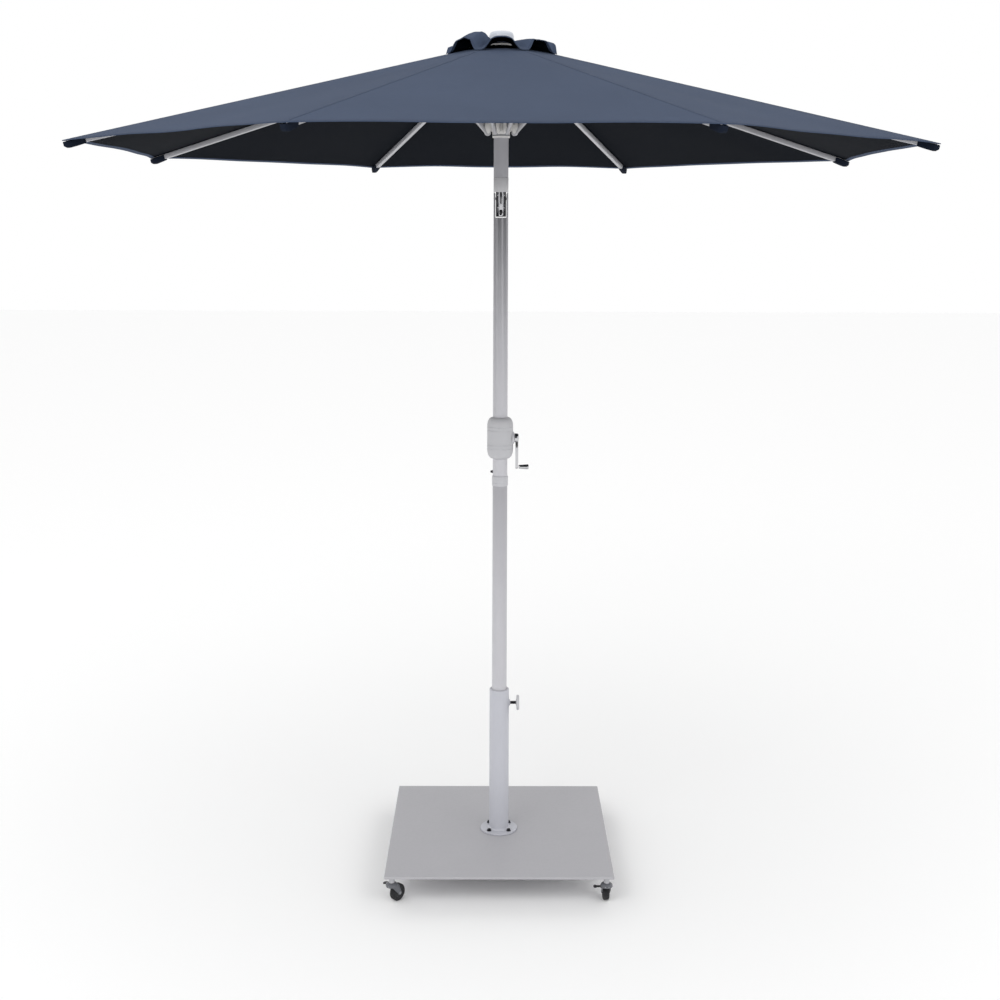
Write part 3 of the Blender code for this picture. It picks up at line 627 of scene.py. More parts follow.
# ---------------------------------------------------------------- base
@dataclass
class Base:
    """The steel plate with its stem, bolts and clamp."""

    body: str = "base"
    corner: float = 0.0022
    collar_radius: float = 0.0088
    pole_radius: float = 0.024
    clamp_height: float = 0.503
    plate: tuple[Vector, Vector] = field(default_factory=lambda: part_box("base_plate"))
    stem: tuple[Vector, Vector] = field(default_factory=lambda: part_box("stem_tube"))
    plate_thickness: float = 0.008

    def build(self) -> None:
        """Builds every piece of the base."""
        self.build_plate()
        self.build_stem()
        self.build_bolts()
        self.build_clamp()

    def build_plate(self) -> None:
        """The slab with eased edges, and the collar over each caster's stem."""
        low, high = self.plate
        floor = high.z - self.plate_thickness
        slab = Shape.box((low.x, low.y, floor), high, self.corner, 4)
        for joint in range(1, 5):
            x, y, _ = JOINTS[f"caster_swivel_{joint}"]["pos_m"]
            collar = Shape.ring(
                32,
                (0.0052, 0.0612), (self.collar_radius - 0.001, 0.0612),
                (self.collar_radius, 0.0622), (self.collar_radius, floor - 0.002),
                (self.collar_radius + 0.003, floor + 0.0005), (0.0052, floor + 0.0005),
            ).moved((x, y, 0))
            stud = Shape.rod((x, y, 0.056), (x, y, floor), 0.0045, sides=20, edge=0.0008)
            collar.joined(stud).piece(f"caster_collar_{joint}", LIGHT_PLASTIC, self.body)
        slab.piece("plate_slab", PLATE_PAINT, self.body, ["base_plate"], "base_plate")

    def build_stem(self) -> None:
        """The tube and its flange as one turned shape, with a weld between them."""
        low, high = self.stem
        bore, radius, flange = 0.027, 0.03175, high.y
        face = low.z + 0.0052
        profile = [
            (bore, low.z), (flange - 0.0008, low.z), (flange, low.z + 0.0008),
            (flange, face - 0.0012), (flange - 0.0012, face), (radius + 0.0046, face),
            (radius + 0.0030, face + 0.0012), (radius + 0.0016, face + 0.0026),
            (radius, face + 0.0044), (radius, high.z - 0.0012), (radius - 0.0006, high.z - 0.0003),
            (radius - 0.0014, high.z), (bore + 0.0006, high.z), (bore, high.z - 0.0006),
        ]
        stem = Shape.turned(profile, 72, ring=True)
        boss = Shape.ring(
            40,
            (0.0053, 0.0290), (0.0095, 0.0290), (0.0095, 0.0352), (0.0087, 0.0360),
            (0.0061, 0.0360), (0.0053, 0.0352),
        )
        weld = Shape.ring(
            40,
            (0.0092, 0.0300), (0.0125, 0.0300), (0.0116, 0.0322), (0.0094, 0.0332),
        )
        at_clamp = Matrix.Translation((0, 0, self.clamp_height)) @ ON_X
        stem.joined(boss.placed(at_clamp), weld.placed(at_clamp))
        stem.piece("stem_shell", STEM_PAINT, self.body, ["stem_tube"], "stem_tube")
        sleeve = Shape.ring(
            64,
            (self.pole_radius + 0.0004, high.z - 0.030), (bore - 0.0001, high.z - 0.030),
            (bore - 0.0001, high.z - 0.0010), (bore - 0.0006, high.z - 0.0004),
            (self.pole_radius + 0.0009, high.z - 0.0004),
            (self.pole_radius + 0.0004, high.z - 0.0010),
        )
        sleeve.piece("stem_bushing", LIGHT_PLASTIC, self.body)

    def build_bolts(self) -> None:
        """A washer and a chamfered hexagon head on each flange hole."""
        for bolt in range(1, 5):
            low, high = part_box(f"flange_bolt_{bolt}")
            centre = (low + high) / 2
            seat = high.z - 0.0055
            washer = Shape.ring(
                32,
                (0.0042, seat), (0.0075, seat), (0.0075, seat + 0.0009), (0.0072, seat + 0.0012),
                (0.0042, seat + 0.0012),
            )
            head = Shape.rod(
                (0, 0, seat + 0.0011), (0, 0, high.z), 0.0062, 0.0060, sides=6, edge=0.0005
            )
            shank = Shape.rod((0, 0, low.z), (0, 0, seat + 0.0012), 0.0040, sides=16)
            face = Shape.rod((0, 0, high.z - 0.0003), (0, 0, high.z), 0.0046, 0.0042, sides=24)
            turn = about_z(radians(17 * bolt))
            washer.joined(head, shank, face).placed(turn)
            washer.moved((centre.x, centre.y, 0)).piece(
                f"flange_screw_{bolt}", DARK_STEEL, self.body, [f"flange_bolt_{bolt}"], "flange_bolt"
            )

    def build_clamp(self) -> None:
        """A threaded screw and a dished plastic knob."""
        low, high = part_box("clamp_screw")
        core, crest, pitch = 0.0043, 0.0050, 0.0015
        profile = [(0, low.x), (core - 0.0008, low.x), (core, low.x + 0.0008)]
        at = low.x + 0.0012
        while at < high.x - pitch:
            profile += [(core, at), (crest, at + pitch * 0.4), (crest, at + pitch * 0.6)]
            at += pitch
        profile += [(core, high.x), (0, high.x)]
        place = Matrix.Translation((0, 0, self.clamp_height)) @ ON_X
        Shape.turned(profile, 28).placed(place).piece(
            "clamp_thread", DARK_STEEL, "clamp_screw", ["clamp_screw"], "clamp_screw"
        )
        low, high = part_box("clamp_knob")
        radius = high.y
        disc = Shape.turned(
            [
                (0.0054, low.x), (0.0100, low.x), (0.0110, low.x + 0.0012),
                (radius - 0.0016, low.x + 0.0016), (radius - 0.0004, low.x + 0.0024),
                (radius, low.x + 0.0040), (radius, high.x - 0.0034),
                (radius - 0.0005, high.x - 0.0018), (radius - 0.0020, high.x - 0.0004),
                (radius - 0.0036, high.x), (0.0130, high.x - 0.0008), (0.0120, high.x - 0.0016),
                (0.0070, high.x - 0.0018), (0.0060, high.x - 0.0008), (0, high.x - 0.0006),
            ],
            96,
        )
        for vert in disc.bm.verts:
            reach = hypot(vert.co.x, vert.co.y)
            if reach > radius * 0.985:
                wave = 1 - 0.012 * (0.5 + 0.5 * cos(24 * atan2(vert.co.y, vert.co.x)))
                vert.co.x *= wave
                vert.co.y *= wave
        disc.placed(place).piece(
            "clamp_disc", LIGHT_PLASTIC, "clamp_knob", ["clamp_knob"], "clamp_knob"
        )


# ---------------------------------------------------------------- casters
@dataclass
class Caster:
    """One swivel caster, modelled with its stem on Z and its wheel trailing to +X."""

    number: int
    trail: float = 0.024
    wheel_radius: float = 0.025
    wheel_half: float = 0.010
    cheek: float = 0.0026
    hood_top: float = 0.0606

    def place(self) -> Matrix:
        """Where the caster stands, and how it is turned."""
        x, y, _ = JOINTS[f"caster_swivel_{self.number}"]["pos_m"]
        wheel = JOINTS[f"wheel_spin_{self.number}"]["pos_m"]
        return Matrix.Translation((x, y, 0)) @ about_z(atan2(wheel[1] - y, wheel[0] - x))

    def build(self) -> None:
        """Builds the fork, the wheel and the brake lever."""
        place = self.place()
        self.build_fork(place)
        self.build_wheel(place)
        self.build_brake(place)

    def build_fork(self, place: Matrix) -> None:
        """The domed hood, two tapered cheeks and the axle's heads."""
        top, body = self.hood_top, f"caster_{self.number}"
        node = f"caster_fork_{self.number}"
        hood = Shape.ring(
            48,
            (0.0049, top - 0.0004), (0.0105, top), (0.0145, top - 0.0008), (0.0172, top - 0.0026),
            (0.0186, top - 0.0052), (0.0185, 0.0515), (0.0168, 0.0515), (0.0165, top - 0.0040),
            (0.0049, top - 0.0030),
        )
        raceway = Shape.ring(
            40,
            (0.0150, 0.0500), (0.0172, 0.0500), (0.0172, 0.0545), (0.0150, 0.0545),
        )
        half = self.wheel_half + 0.0007
        outline = [
            (-0.0120, 0.0560), (-0.0125, 0.0525), (-0.0060, 0.0480),
            *arc((self.trail, self.wheel_radius), 0.0062, 205, 395, 9),
            (self.trail - 0.0010, 0.0430), (self.trail - 0.0040, 0.0520),
            (self.trail - 0.0080, 0.0560),
        ]
        for side in (-1, 1):
            cheek = Shape.plate(outline, self.cheek, 0.0008)
            hood.joined(cheek.moved((0, side * (half + self.cheek / 2), 0)))
        bridge = Shape.box(
            (-0.0120, -half - 0.0006, 0.0522), (self.trail - 0.0085, half + 0.0006, 0.0565), 0.0012
        )
        hood.joined(raceway, bridge).placed(place)
        hood.piece(f"fork_{self.number}", FORK_ENAMEL, body, [node], "caster_fork")
        reach = half + self.cheek
        bright = Shape.rod(
            (self.trail, -reach, self.wheel_radius), (self.trail, reach, self.wheel_radius), 0.003
        )
        for side in (-1, 1):
            axle = (self.trail, side * reach, self.wheel_radius)
            bright.joined(Shape.dome(axle, 0.0043, 0.0014, (0, side, 0)))
            for spot in (-0.0060, 0.0060):
                rivet = (spot, side * (reach - 0.0001), 0.0530)
                bright.joined(Shape.dome(rivet, 0.0019, 0.0008, (0, side, 0), 14))
        for spot in (-0.0055, 0.0055):
            bright.joined(Shape.dome((-0.0180, spot, 0.0548), 0.0020, 0.0011, (-1, 0, 0), 14))
        bright.placed(place).piece(f"axle_{self.number}", ZINC, body)

    def build_wheel(self, place: Matrix) -> None:
        """A ribbed tyre on a plastic hub."""
        body = f"wheel_{self.number}"
        radius, half = self.wheel_radius, self.wheel_half
        at = place @ Matrix.Translation((self.trail, 0, radius)) @ ON_Y
        groove = [
            (radius - (0.0009 if i % 2 else 0.0), half * (0.62 - 1.24 * i / 8)) for i in range(9)
        ]
        tyre = Shape.ring(
            72,
            (0.0150, half - 0.0016), (0.0170, half - 0.0004), (radius - 0.0028, half - 0.0006),
            (radius - 0.0010, half - 0.0018), (radius - 0.0002, half - 0.0032), *groove,
            (radius - 0.0002, 0.0032 - half), (radius - 0.0010, 0.0018 - half),
            (radius - 0.0028, 0.0006 - half), (0.0170, 0.0004 - half), (0.0150, 0.0016 - half),
        )
        tyre.placed(at).piece(
            f"tyre_{self.number}", TYRE_RUBBER, body, [f"caster_wheel_{self.number}"], "caster_wheel"
        )
        hub = Shape.ring(
            48,
            (0.0034, half - 0.0002), (0.0060, half - 0.0002), (0.0066, half - 0.0022),
            (0.0125, half - 0.0026), (0.0134, half - 0.0008), (0.0152, half - 0.0010),
            (0.0152, 0.0010 - half), (0.0134, 0.0008 - half), (0.0125, 0.0026 - half),
            (0.0066, 0.0022 - half), (0.0060, 0.0002 - half), (0.0034, 0.0002 - half),
        )
        spoke = Shape.box((0.0062, -0.0009, 0.0024 - half), (0.0130, 0.0009, half - 0.0024))
        spoke.repeated(about_z(2 * pi * i / 6) for i in range(6))
        hub.joined(spoke).placed(at).piece(f"wheel_hub_{self.number}", BLACK_PLASTIC, body)

    def build_brake(self, place: Matrix) -> None:
        """The foot lever: a sleeve on its pin, a bent arm and an oval pad."""
        pin = Vector(JOINTS[f"brake_press_{self.number}"]["pos_m"])
        local = place.inverted() @ pin
        barrel = Shape.rod((-0.006, 0, 0), (0.006, 0, 0), 0.0027, sides=24, edge=0.0005)
        arm = Shape.box((-0.0052, 0.0004, -0.0011), (0.0052, 0.0140, 0.0011), 0.0008)
        pad = Shape.turned(
            [
                (0, 0.0015), (0.0048, 0.0016), (0.0056, 0.0010), (0.0059, 0.0), (0.0056, -0.0012),
                (0.0048, -0.0016), (0, -0.0016),
            ],
            40,
        )
        pad.placed(Matrix.Diagonal((1.5, 1.0, 1.0, 1.0))).moved((0, 0.0179, 0))
        ridge = Shape.box((-0.0062, -0.0004, 0.0010), (0.0062, 0.0004, 0.0019), 0.0003, 1)
        ridge.repeated(Matrix.Translation((0, 0.0179 + 0.0022 * i, -0.0003)) for i in (-1, 0, 1))
        pad.joined(barrel, arm, ridge).moved(local).placed(place)
        pad.piece(
            f"brake_pedal_{self.number}", BLACK_PLASTIC, f"brake_{self.number}",
            [f"caster_brake_{self.number}"], "caster_brake",
        )


# ---------------------------------------------------------------- pole and crank
@dataclass
class Pole:
    """The two tubes below the tilt joint, their collar and snap button."""

    body: str = "pole"
    radius: float = 0.024
    snap_height: float = 1.262

    def build(self) -> None:
        """Builds the tubes and what is on them."""
        for node, name in (("lower_pole", "lower_tube"), ("main_pole", "main_tube")):
            Shape.from_node(node).piece(name, POLE_PAINT, self.body, [node], "pole")
        self.build_collar()
        self.build_snap()
        self.build_rim()

    def build_collar(self) -> None:
        """The plastic ring where the tubes meet."""
        low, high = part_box("pole_collar")
        outer = high.y
        ring = Shape.ring(
            72,
            (0.0221, low.z), (outer - 0.0016, low.z), (outer - 0.0004, low.z + 0.0010),
            (outer - 0.0002, low.z + 0.0100), (outer - 0.0010, low.z + 0.0108),
            (outer - 0.0010, low.z + 0.0118), (outer, low.z + 0.0126), (outer, high.z - 0.0024),
            (outer - 0.0006, high.z - 0.0010), (outer - 0.0018, high.z), (0.0221, high.z),
        )
        ring.piece("collar_ring", LIGHT_PLASTIC, self.body, ["pole_collar"], "pole_collar")

    def build_snap(self) -> None:
        """A domed button that springs out of the pole."""
        low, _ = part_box("snap_button")
        tip, radius = -low.x, 0.0042
        button = Shape.turned(
            [
                (0, tip), (radius * 0.45, tip - 0.0003), (radius * 0.80, tip - 0.0012),
                (radius, tip - 0.0030), (radius, 0.0185), (0, 0.0185),
            ],
            32,
        )
        leaf = Shape.box((0.0180, -0.004, -0.018), (0.0192, 0.004, 0.0045), 0.0004, 2)
        place = Matrix.Translation((0, 0, self.snap_height))
        facing = about_z(pi)
        button.placed(ON_X).joined(leaf).placed(place @ facing)
        button.piece("snap_cap", DARK_STEEL, "snap_button", ["snap_button"], "snap_button")

    def build_rim(self) -> None:
        """A plastic grommet around the snap button's hole."""
        grommet = Shape.ring(
            32,
            (0.0046, 0.0236), (0.0058, 0.0238), (0.0056, 0.0246), (0.0048, 0.0247),
        )
        place = Matrix.Translation((0, 0, self.snap_height)) @ about_z(pi) @ ON_X
        grommet.placed(place).piece("snap_grommet", BLACK_PLASTIC, self.body)


@dataclass
class Crank:
    """The ribbed housing on the pole with its shaft, arm and grip."""

    height: float = 1.373
    pole_fit: float = 0.0243
    groove: float = 0.0009
    reach: float = 0.095

    def build(self) -> None:
        """Builds the housing and the handle."""
        self.build_housing()
        self.build_boss()
        self.build_handle()

    def shell_profile(self) -> list[tuple[float, float]]:
        """The housing's outline, from its top down its outer side and back up the inside."""
        low, high = (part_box("crank_housing_front")[i].z for i in (0, 1))
        wide = 0.0425
        top, foot, neck = 0.027, 0.031, 0.0268
        bands = [high - 0.0300, high - 0.0420, low + 0.0460, low + 0.0340]
        quarter = [pi / 2 * step / 10 for step in range(11)]
        outer = [(self.pole_fit, high), (neck - 0.0006, high)]
        outer += [
            (neck + (wide - neck) * sin(turn), high - 0.0006 - top * (1 - cos(turn)))
            for turn in quarter
        ]
        for band in bands:
            outer += [
                (wide, band + 0.0011), (wide - self.groove, band + 0.0005),
                (wide - self.groove, band - 0.0005), (wide, band - 0.0011),
            ]
        outer += [
            (neck + (wide - neck) * cos(turn), low + foot - (foot - 0.0006) * sin(turn))
            for turn in quarter
        ]
        outer += [(neck - 0.0006, low), (self.pole_fit, low)]
        cavity = wide - 0.004
        inner = [
            (self.pole_fit, low + 0.010), (cavity, low + 0.024), (cavity, high - 0.026),
            (self.pole_fit, high - 0.011),
        ]
        return outer + inner

    def build_housing(self) -> None:
        """Two half shells with a fine split line between them, and the rear one's screws."""
        gap = 0.0040
        for name, node, start in (
            ("housing_front", "crank_housing_front", pi),
            ("housing_rear", "crank_housing_rear", 0.0),
        ):
            half = Shape.turned(self.shell_profile(), 48, sweep=pi - gap, ring=True)
            half.placed(about_z(start + gap / 2))
            half.piece(name, HOUSING_PLASTIC, "pole", [node], "crank_housing")
        for height in (self.height - 0.028, self.height + 0.030):
            for turn in (radians(62), radians(118)):
                at = Vector((0.0420 * cos(turn), 0.0420 * sin(turn), height))
                out = Vector((cos(turn), sin(turn), 0))
                well = Shape.rod(at - out * 0.002, at + out * 0.0007, 0.0034, sides=24, edge=0.0004)
                slot = Shape.box((-0.0026, -0.0005, 0), (0.0026, 0.0005, 0.0011))
                turn_out = Vector((0, 0, 1)).rotation_difference(out).to_matrix().to_4x4()
                well.joined(slot.placed(Matrix.Translation(at) @ turn_out))
                name = f"housing_screw_{round(height * 1000)}_{round(degrees(turn))}"
                well.piece(name, DARK_STEEL, "pole")

    def build_boss(self) -> None:
        """The light conical bearing that the shaft comes out of."""
        profile = [
            (0.0055, 0.0390), (0.0212, 0.0390), (0.0206, 0.0418), (0.0196, 0.0440),
            (0.0178, 0.0458), (0.0150, 0.0465), (0.0055, 0.0465),
        ]
        place = Matrix.Translation((0, 0, self.height)) @ ON_X
        Shape.turned(profile, 64, ring=True).placed(place).piece(
            "crank_boss", LIGHT_PLASTIC, "pole", slot="crank_housing"
        )

    def build_handle(self) -> None:
        """The hub, the forged arm with its ridge, and the tapered grip."""
        hub_start, hub_end = 0.0468, 0.0610
        place = Matrix.Translation((0, 0, self.height))
        hub = Shape.ring(
            56,
            (0.0053, hub_start), (0.0140, hub_start), (0.0150, hub_start + 0.0010),
            (0.0148, hub_end - 0.0050), (0.0132, hub_end - 0.0015), (0.0112, hub_end - 0.0004),
            (0.0060, hub_end), (0.0053, hub_end - 0.0006),
        ).placed(ON_X)
        arm = Shape.plate(
            [
                (-0.0085, -0.0040), (-0.0066, -self.reach * 0.55), (-0.0064, -self.reach + 0.004),
                *arc((0, -self.reach), 0.0064, 190, 350, 8), (0.0064, -self.reach + 0.004),
                (0.0066, -self.reach * 0.55), (0.0085, -0.0040),
            ],
            0.0086,
            0.0018,
        ).placed(about_z(pi / 2))
        arm.moved((0.0542, 0, 0))
        rib = Shape.box((0.0578, -0.0016, -self.reach + 0.012), (0.0594, 0.0016, -0.014), 0.0007)
        hub.joined(arm, rib).placed(place)
        hub.piece("crank_lever", CHROME, "crank", ["crank_arm"], "crank_arm")
        nut = Shape.rod((0.0560, 0, 0), (0.0614, 0, 0), 0.0052, sides=6, edge=0.0006)
        Shape.from_node("crank_spool").joined(nut.placed(place)).piece(
            "crank_shaft", DARK_STEEL, "crank", ["crank_spool"], "crank_spool"
        )
        low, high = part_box("crank_grip")
        grip = Shape.turned(
            [
                (0.0034, low.x), (0.0056, low.x), (0.0063, low.x + 0.0014),
                (0.0066, low.x + 0.0060), (0.0080, high.x - 0.0090), (0.0084, high.x - 0.0052),
                (0.0082, high.x - 0.0022), (0.0070, high.x - 0.0006), (0.0052, high.x),
                (0.0030, high.x - 0.0005), (0, high.x - 0.0007),
            ],
            48,
        )
        place = Matrix.Translation((0, 0, self.height - self.reach)) @ ON_X
        grip.placed(place).piece("crank_knob", CHROME, "crank_grip", ["crank_grip"], "crank_grip")


# ---------------------------------------------------------------- tilt joint and hubs
@dataclass
class Head:
    """What stands above the tilt joint, apart from the ribs and the cloth."""

    body: str = "upper"
    radius: float = 0.024
    tilt_height: float = 2.155
    seat: float = 2.1762
    collar_top: float = 2.223

    def build(self) -> None:
        """Builds the joint, the upper tube, the hubs and the finial."""
        self.build_knuckle()
        self.build_button()
        Shape.from_node("upper_pole").piece(
            "upper_tube", UPPER_PAINT, self.body, ["upper_pole"], "pole_upper"
        )
        Shape.from_node("top_hub").piece("crown_hub", HUB_PLASTIC, self.body, ["top_hub"], "top_hub")
        self.build_runner()
        self.build_finial()

    def build_knuckle(self) -> None:
        """The bright knuckle with its ridge and rivets, and the painted collar on it."""
        knuckle = Shape.from_node("tilt_knuckle")
        ridge = Shape.box((-0.0030, -0.0218, 2.1180), (0.0030, -0.0190, 2.1740), 0.0012)
        knuckle.joined(ridge)
        for side in (-1, 1):
            for height in (2.1260, 2.1660):
                knuckle.joined(
                    Shape.dome((side * 0.0105, -0.0178, height), 0.0024, 0.0012, (side * 0.4, -1, 0))
                )
            pin = (side * (self.radius - 0.0004), 0, self.tilt_height)
            knuckle.joined(Shape.dome(pin, 0.0040, 0.0006, (side, 0, 0)))
        knuckle.piece("tilt_tongue", CHROME, self.body, ["tilt_knuckle"], "tilt_knuckle")
        sleeve = Shape.ring(
            72,
            (self.radius - 0.0004, self.seat), (self.radius, self.seat),
            (self.radius + 0.0002, self.seat + 0.0006),
            (self.radius + 0.0002, self.collar_top - 0.0008),
            (self.radius - 0.0002, self.collar_top), (self.radius - 0.0006, self.collar_top),
        )
        sleeve.piece("tilt_collar", JOINT_PAINT, self.body)

    def build_button(self) -> None:
        """The button that frees the tilt."""
        low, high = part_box("tilt_button")
        centre = (low + high) / 2
        profile = [
            (0, -low.y), (0.0026, -low.y - 0.0001), (0.0040, -low.y - 0.0010),
            (0.0046, -low.y - 0.0024), (0.0046, -high.y), (0, -high.y),
        ]
        button = Shape.turned(profile, 36).placed(ON_Y)
        button.moved((centre.x, 0, centre.z)).piece(
            "tilt_press", BLACK_PLASTIC, "tilt_button", ["tilt_button"], "tilt_button"
        )

    def build_runner(self) -> None:
        """The sliding hub, with a steel band at its foot and a lip at its top."""
        Shape.from_node("runner").piece("runner_hub", HUB_PLASTIC, "runner", ["runner"], "runner")
        low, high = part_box("runner")
        band = Shape.ring(
            72,
            (0.0283, low.z + 0.0050), (0.0292, low.z + 0.0054), (0.0292, low.z + 0.0096),
            (0.0283, low.z + 0.0100),
        )
        band.piece("runner_band", ZINC, "runner")
        lip = Shape.ring(
            72,
            (0.0282, high.z - 0.0030), (0.0293, high.z - 0.0026), (0.0295, high.z - 0.0012),
            (0.0286, high.z - 0.0002), (0.0278, high.z - 0.0002),
        )
        lip.piece("runner_lip", HUB_PLASTIC, "runner")

    def build_finial(self) -> None:
        """The cap that holds the vent's cloth down on the hub."""
        low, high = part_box("finial")
        wide, base = high.y, 2.6645
        profile = [
            (0, high.z), (wide * 0.45, high.z - 0.0002), (wide * 0.66, high.z - 0.0009),
            (wide * 0.80, high.z - 0.0024), (wide * 0.90, high.z - 0.0052),
            (wide * 0.965, high.z - 0.0094), (wide, high.z - 0.0150), (wide, high.z - 0.0260),
            (wide * 0.985, high.z - 0.0285), (wide * 0.95, high.z - 0.0290),
            (wide * 0.94, base + 0.0040), (wide * 0.925, base + 0.0004), (0.0040, base),
            (0.0040, low.z), (0, low.z),
        ]
        Shape.turned(profile, 72).piece(
            "finial_dome", FINIAL_PLASTIC, self.body, ["finial"], "finial"
        )


# ---------------------------------------------------------------- ribs and stretchers
@dataclass
class Arms:
    """The ribs with their brackets, and the stretchers."""

    bracket_half: float = 0.0070

    def build(self) -> None:
        """Builds every rib and stretcher, with their rivets."""
        for rib in range(1, RIBS + 1):
            Shape.from_node(f"rib_{rib}").piece(
                f"rib_bar_{rib}", RIB_PAINT, f"rib_{rib}", [f"rib_{rib}"], "rib"
            )
            Shape.from_node(f"stretcher_{rib}").piece(
                f"stretcher_bar_{rib}", RIB_PAINT, f"stretcher_{rib}", [f"stretcher_{rib}"],
                "stretcher",
            )
            self.build_rivet(rib)

    def build_rivet(self, rib: int) -> None:
        """The bracket's rivet: two domed heads on the stretcher's pin."""
        joint, half = JOINTS[f"stretcher_fold_{rib}"], self.bracket_half
        pin, across = Vector(joint["pos_m"]), Vector(joint["axis"])
        heads = Shape.rod(pin - across * half, pin + across * half, 0.0024, sides=16)
        for side in (-1, 1):
            at = pin + across * side * half
            heads.joined(Shape.dome(at, 0.0046, 0.0018, across * side))
        heads.piece(f"bracket_rivet_{rib}", ZINC, f"rib_{rib}")


# ---------------------------------------------------------------- canopy
class Side(Enum):
    """The two sides of a rib."""

    LEFT = 1
    RIGHT = -1


@dataclass
class Canopy:
    """The sewn cloth: its surface, and its cut, which is worked out from how it folds.

    A point of the cloth is given in a rib's own frame, x out from the axis and t across. Each rib
    carries a strip and a wing on each side of it. The strip's width comes from the share by which a
    wing would be gathered towards it as the ribs close, so that its edge meets the next rib's wing.

    The hem is pulled in by the dip between two ribs. The cloth hangs by the sag there, and by the
    droop near the hem. The crest is the radius of its fold over a rib. The swelling lifts it
    between the middle and the hem, and the pull and the ripple are the depths of its creases.
    """

    name: str = "canopy"
    cloth: Finish = CANOPY_CLOTH
    # The underside's finish is painted shade: near black for the shade under the canopy.
    inner_finish: Finish = UNDERSIDE_SHADE_CLOTH
    radius: float = 1.375
    slope: float = 0.259
    peak: float = 2.664
    hole: float = 0.14
    dip: float = 0.030
    sag: float = 0.007
    crest: float = 0.009
    swelling: float = 0.005
    pull: float = 0.0030
    ripple: float = 0.0012
    droop: float = 0.009
    phase_step: float = 1.7
    gathered_at: float = 0.88
    wall: float = 0.0011
    hem: float = 0.016
    seam: float = 0.0065

    def __post_init__(self) -> None:
        """Reads the hub pins and the fold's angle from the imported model."""
        pin = JOINTS["rib_fold_1"]["pos_m"]
        self.pin = Vector((hypot(pin[0], pin[1]), 0, pin[2]))
        travel = JOINTS["runner_slide"]["range_m"][0]
        ratio = next(c["ratio"] for c in COUPLINGS if c["joint"] == "rib_fold_1")
        self.fold = ratio * travel

    def rib_direction(self) -> Vector:
        """The way a rib runs, in its own frame."""
        return Vector((1, 0, -self.slope)).normalized()

    def rib_point(self, x: float, below: float) -> Vector:
        """A point on a rib's line, at a distance below the cloth's top."""
        return Vector((x, 0, self.peak - self.slope * x + below))

    def folded_reach(self, x: float, z: float) -> float:
        """How far from the axis a point of a rib's plane comes when the ribs are closed."""
        return (self.pin.x + (x - self.pin.x) * cos(self.fold) + (z - self.pin.z) * sin(self.fold))

    def gather(self, inner: Vector, outer: Vector) -> tuple[float, float]:
        """How a wing is gathered so that its edge meets the next wing's when closed.

        Args:
            inner: the inner end of the wing's far edge.
            outer: its outer end.

        Returns:
            The distance from the rib that stays in place, and the share that the rest keeps.
        """
        needed = [self.folded_reach(end.x, end.z) * tan(SECTOR) for end in (inner, outer)]
        keep = max(0.03, (needed[1] - needed[0]) / (outer.y - inner.y))
        return (needed[0] - keep * inner.y) / (1 - keep), keep

    def edge_x(self, t_at: Callable[[float], float], reach: float, dip: float) -> float:
        """Where a line across the cloth meets a hem.

        Args:
            t_at: the line's t for an x.
            reach: the hem's distance from the axis at a rib.
            dip: how far the hem is pulled in between two ribs.

        Returns:
            The x of the meeting.
        """
        x = reach
        half = reach * sin(SECTOR)
        for _ in range(8):
            t = abs(t_at(x))
            off = (x * sin(SECTOR) - t * cos(SECTOR)) / half
            line = reach * cos(SECTOR) - dip * (1 - off * off)
            x = (line - t * sin(SECTOR)) / cos(SECTOR)
        return x

    def half_gore(self, x: float) -> float:
        """The t just inside the line midway between two ribs."""
        return 0.999 * x * tan(SECTOR)

    def phase(self, rib: int, t: float) -> float:
        """Where the creases start in the gore on that side of a rib."""
        return self.phase_step * ((rib if t > 0 else rib - 1) % RIBS)

    def height(self, x: float, t: float, phase: float = 0.0) -> float:
        """The cloth's height, with its sag between the ribs and its creases near the hem."""
        crest = hypot(t, self.crest) - self.crest
        flat = self.peak - self.slope * (x + crest * tan(SECTOR))
        flat += self.swelling * max(0.0, 1 - abs(x - 0.32) / 0.30) ** 2 * min(1.0, abs(t) / 0.05)
        across = min(1.0, abs(t) / max(0.001, x * tan(SECTOR)))
        along = min(1.0, max(0.0, (x - self.hole) / (self.radius - self.hole)))
        swell = sin(pi / 2 * across) ** 2
        sag = self.sag * swell * sin(pi * along**0.8)
        window = sin(pi * across) ** 2
        pull = self.pull * window * along**4 * sin(5.5 * across + 9 * along + phase)
        soft = self.ripple * window * sin(3.1 * across + 6 * along + 2.3 * phase)
        droop = self.droop * swell * max(0.0, along - 0.6) ** 2 / 0.16
        return flat - sag + pull + soft - droop

    def build(self) -> None:
        """Builds the cloth of every rib."""
        for rib in range(1, RIBS + 1):
            self.build_strip(rib)
            for side in Side:
                self.build_wing(rib, side)
            if self.name == "canopy":
                self.build_seam(rib)
                self.build_pocket(rib)
                self.build_stitching(rib)

    def wing_edge(self, x: float) -> Vector:
        """A point of the line midway between two ribs."""
        t = x * tan(SECTOR)
        return Vector((x, t, self.height(x, t)))

    def held(self) -> tuple[float, float]:
        """The strip's half width and the wings' share for the main cloth."""
        return self.gather(self.wing_edge(self.hole), self.wing_edge(self.radius * self.gathered_at))

    def declare(self, size: tuple[float, float], area: float) -> None:
        """Takes a piece's cut size and its area, and does nothing with them."""
        area = min(area, size[0] * size[1])

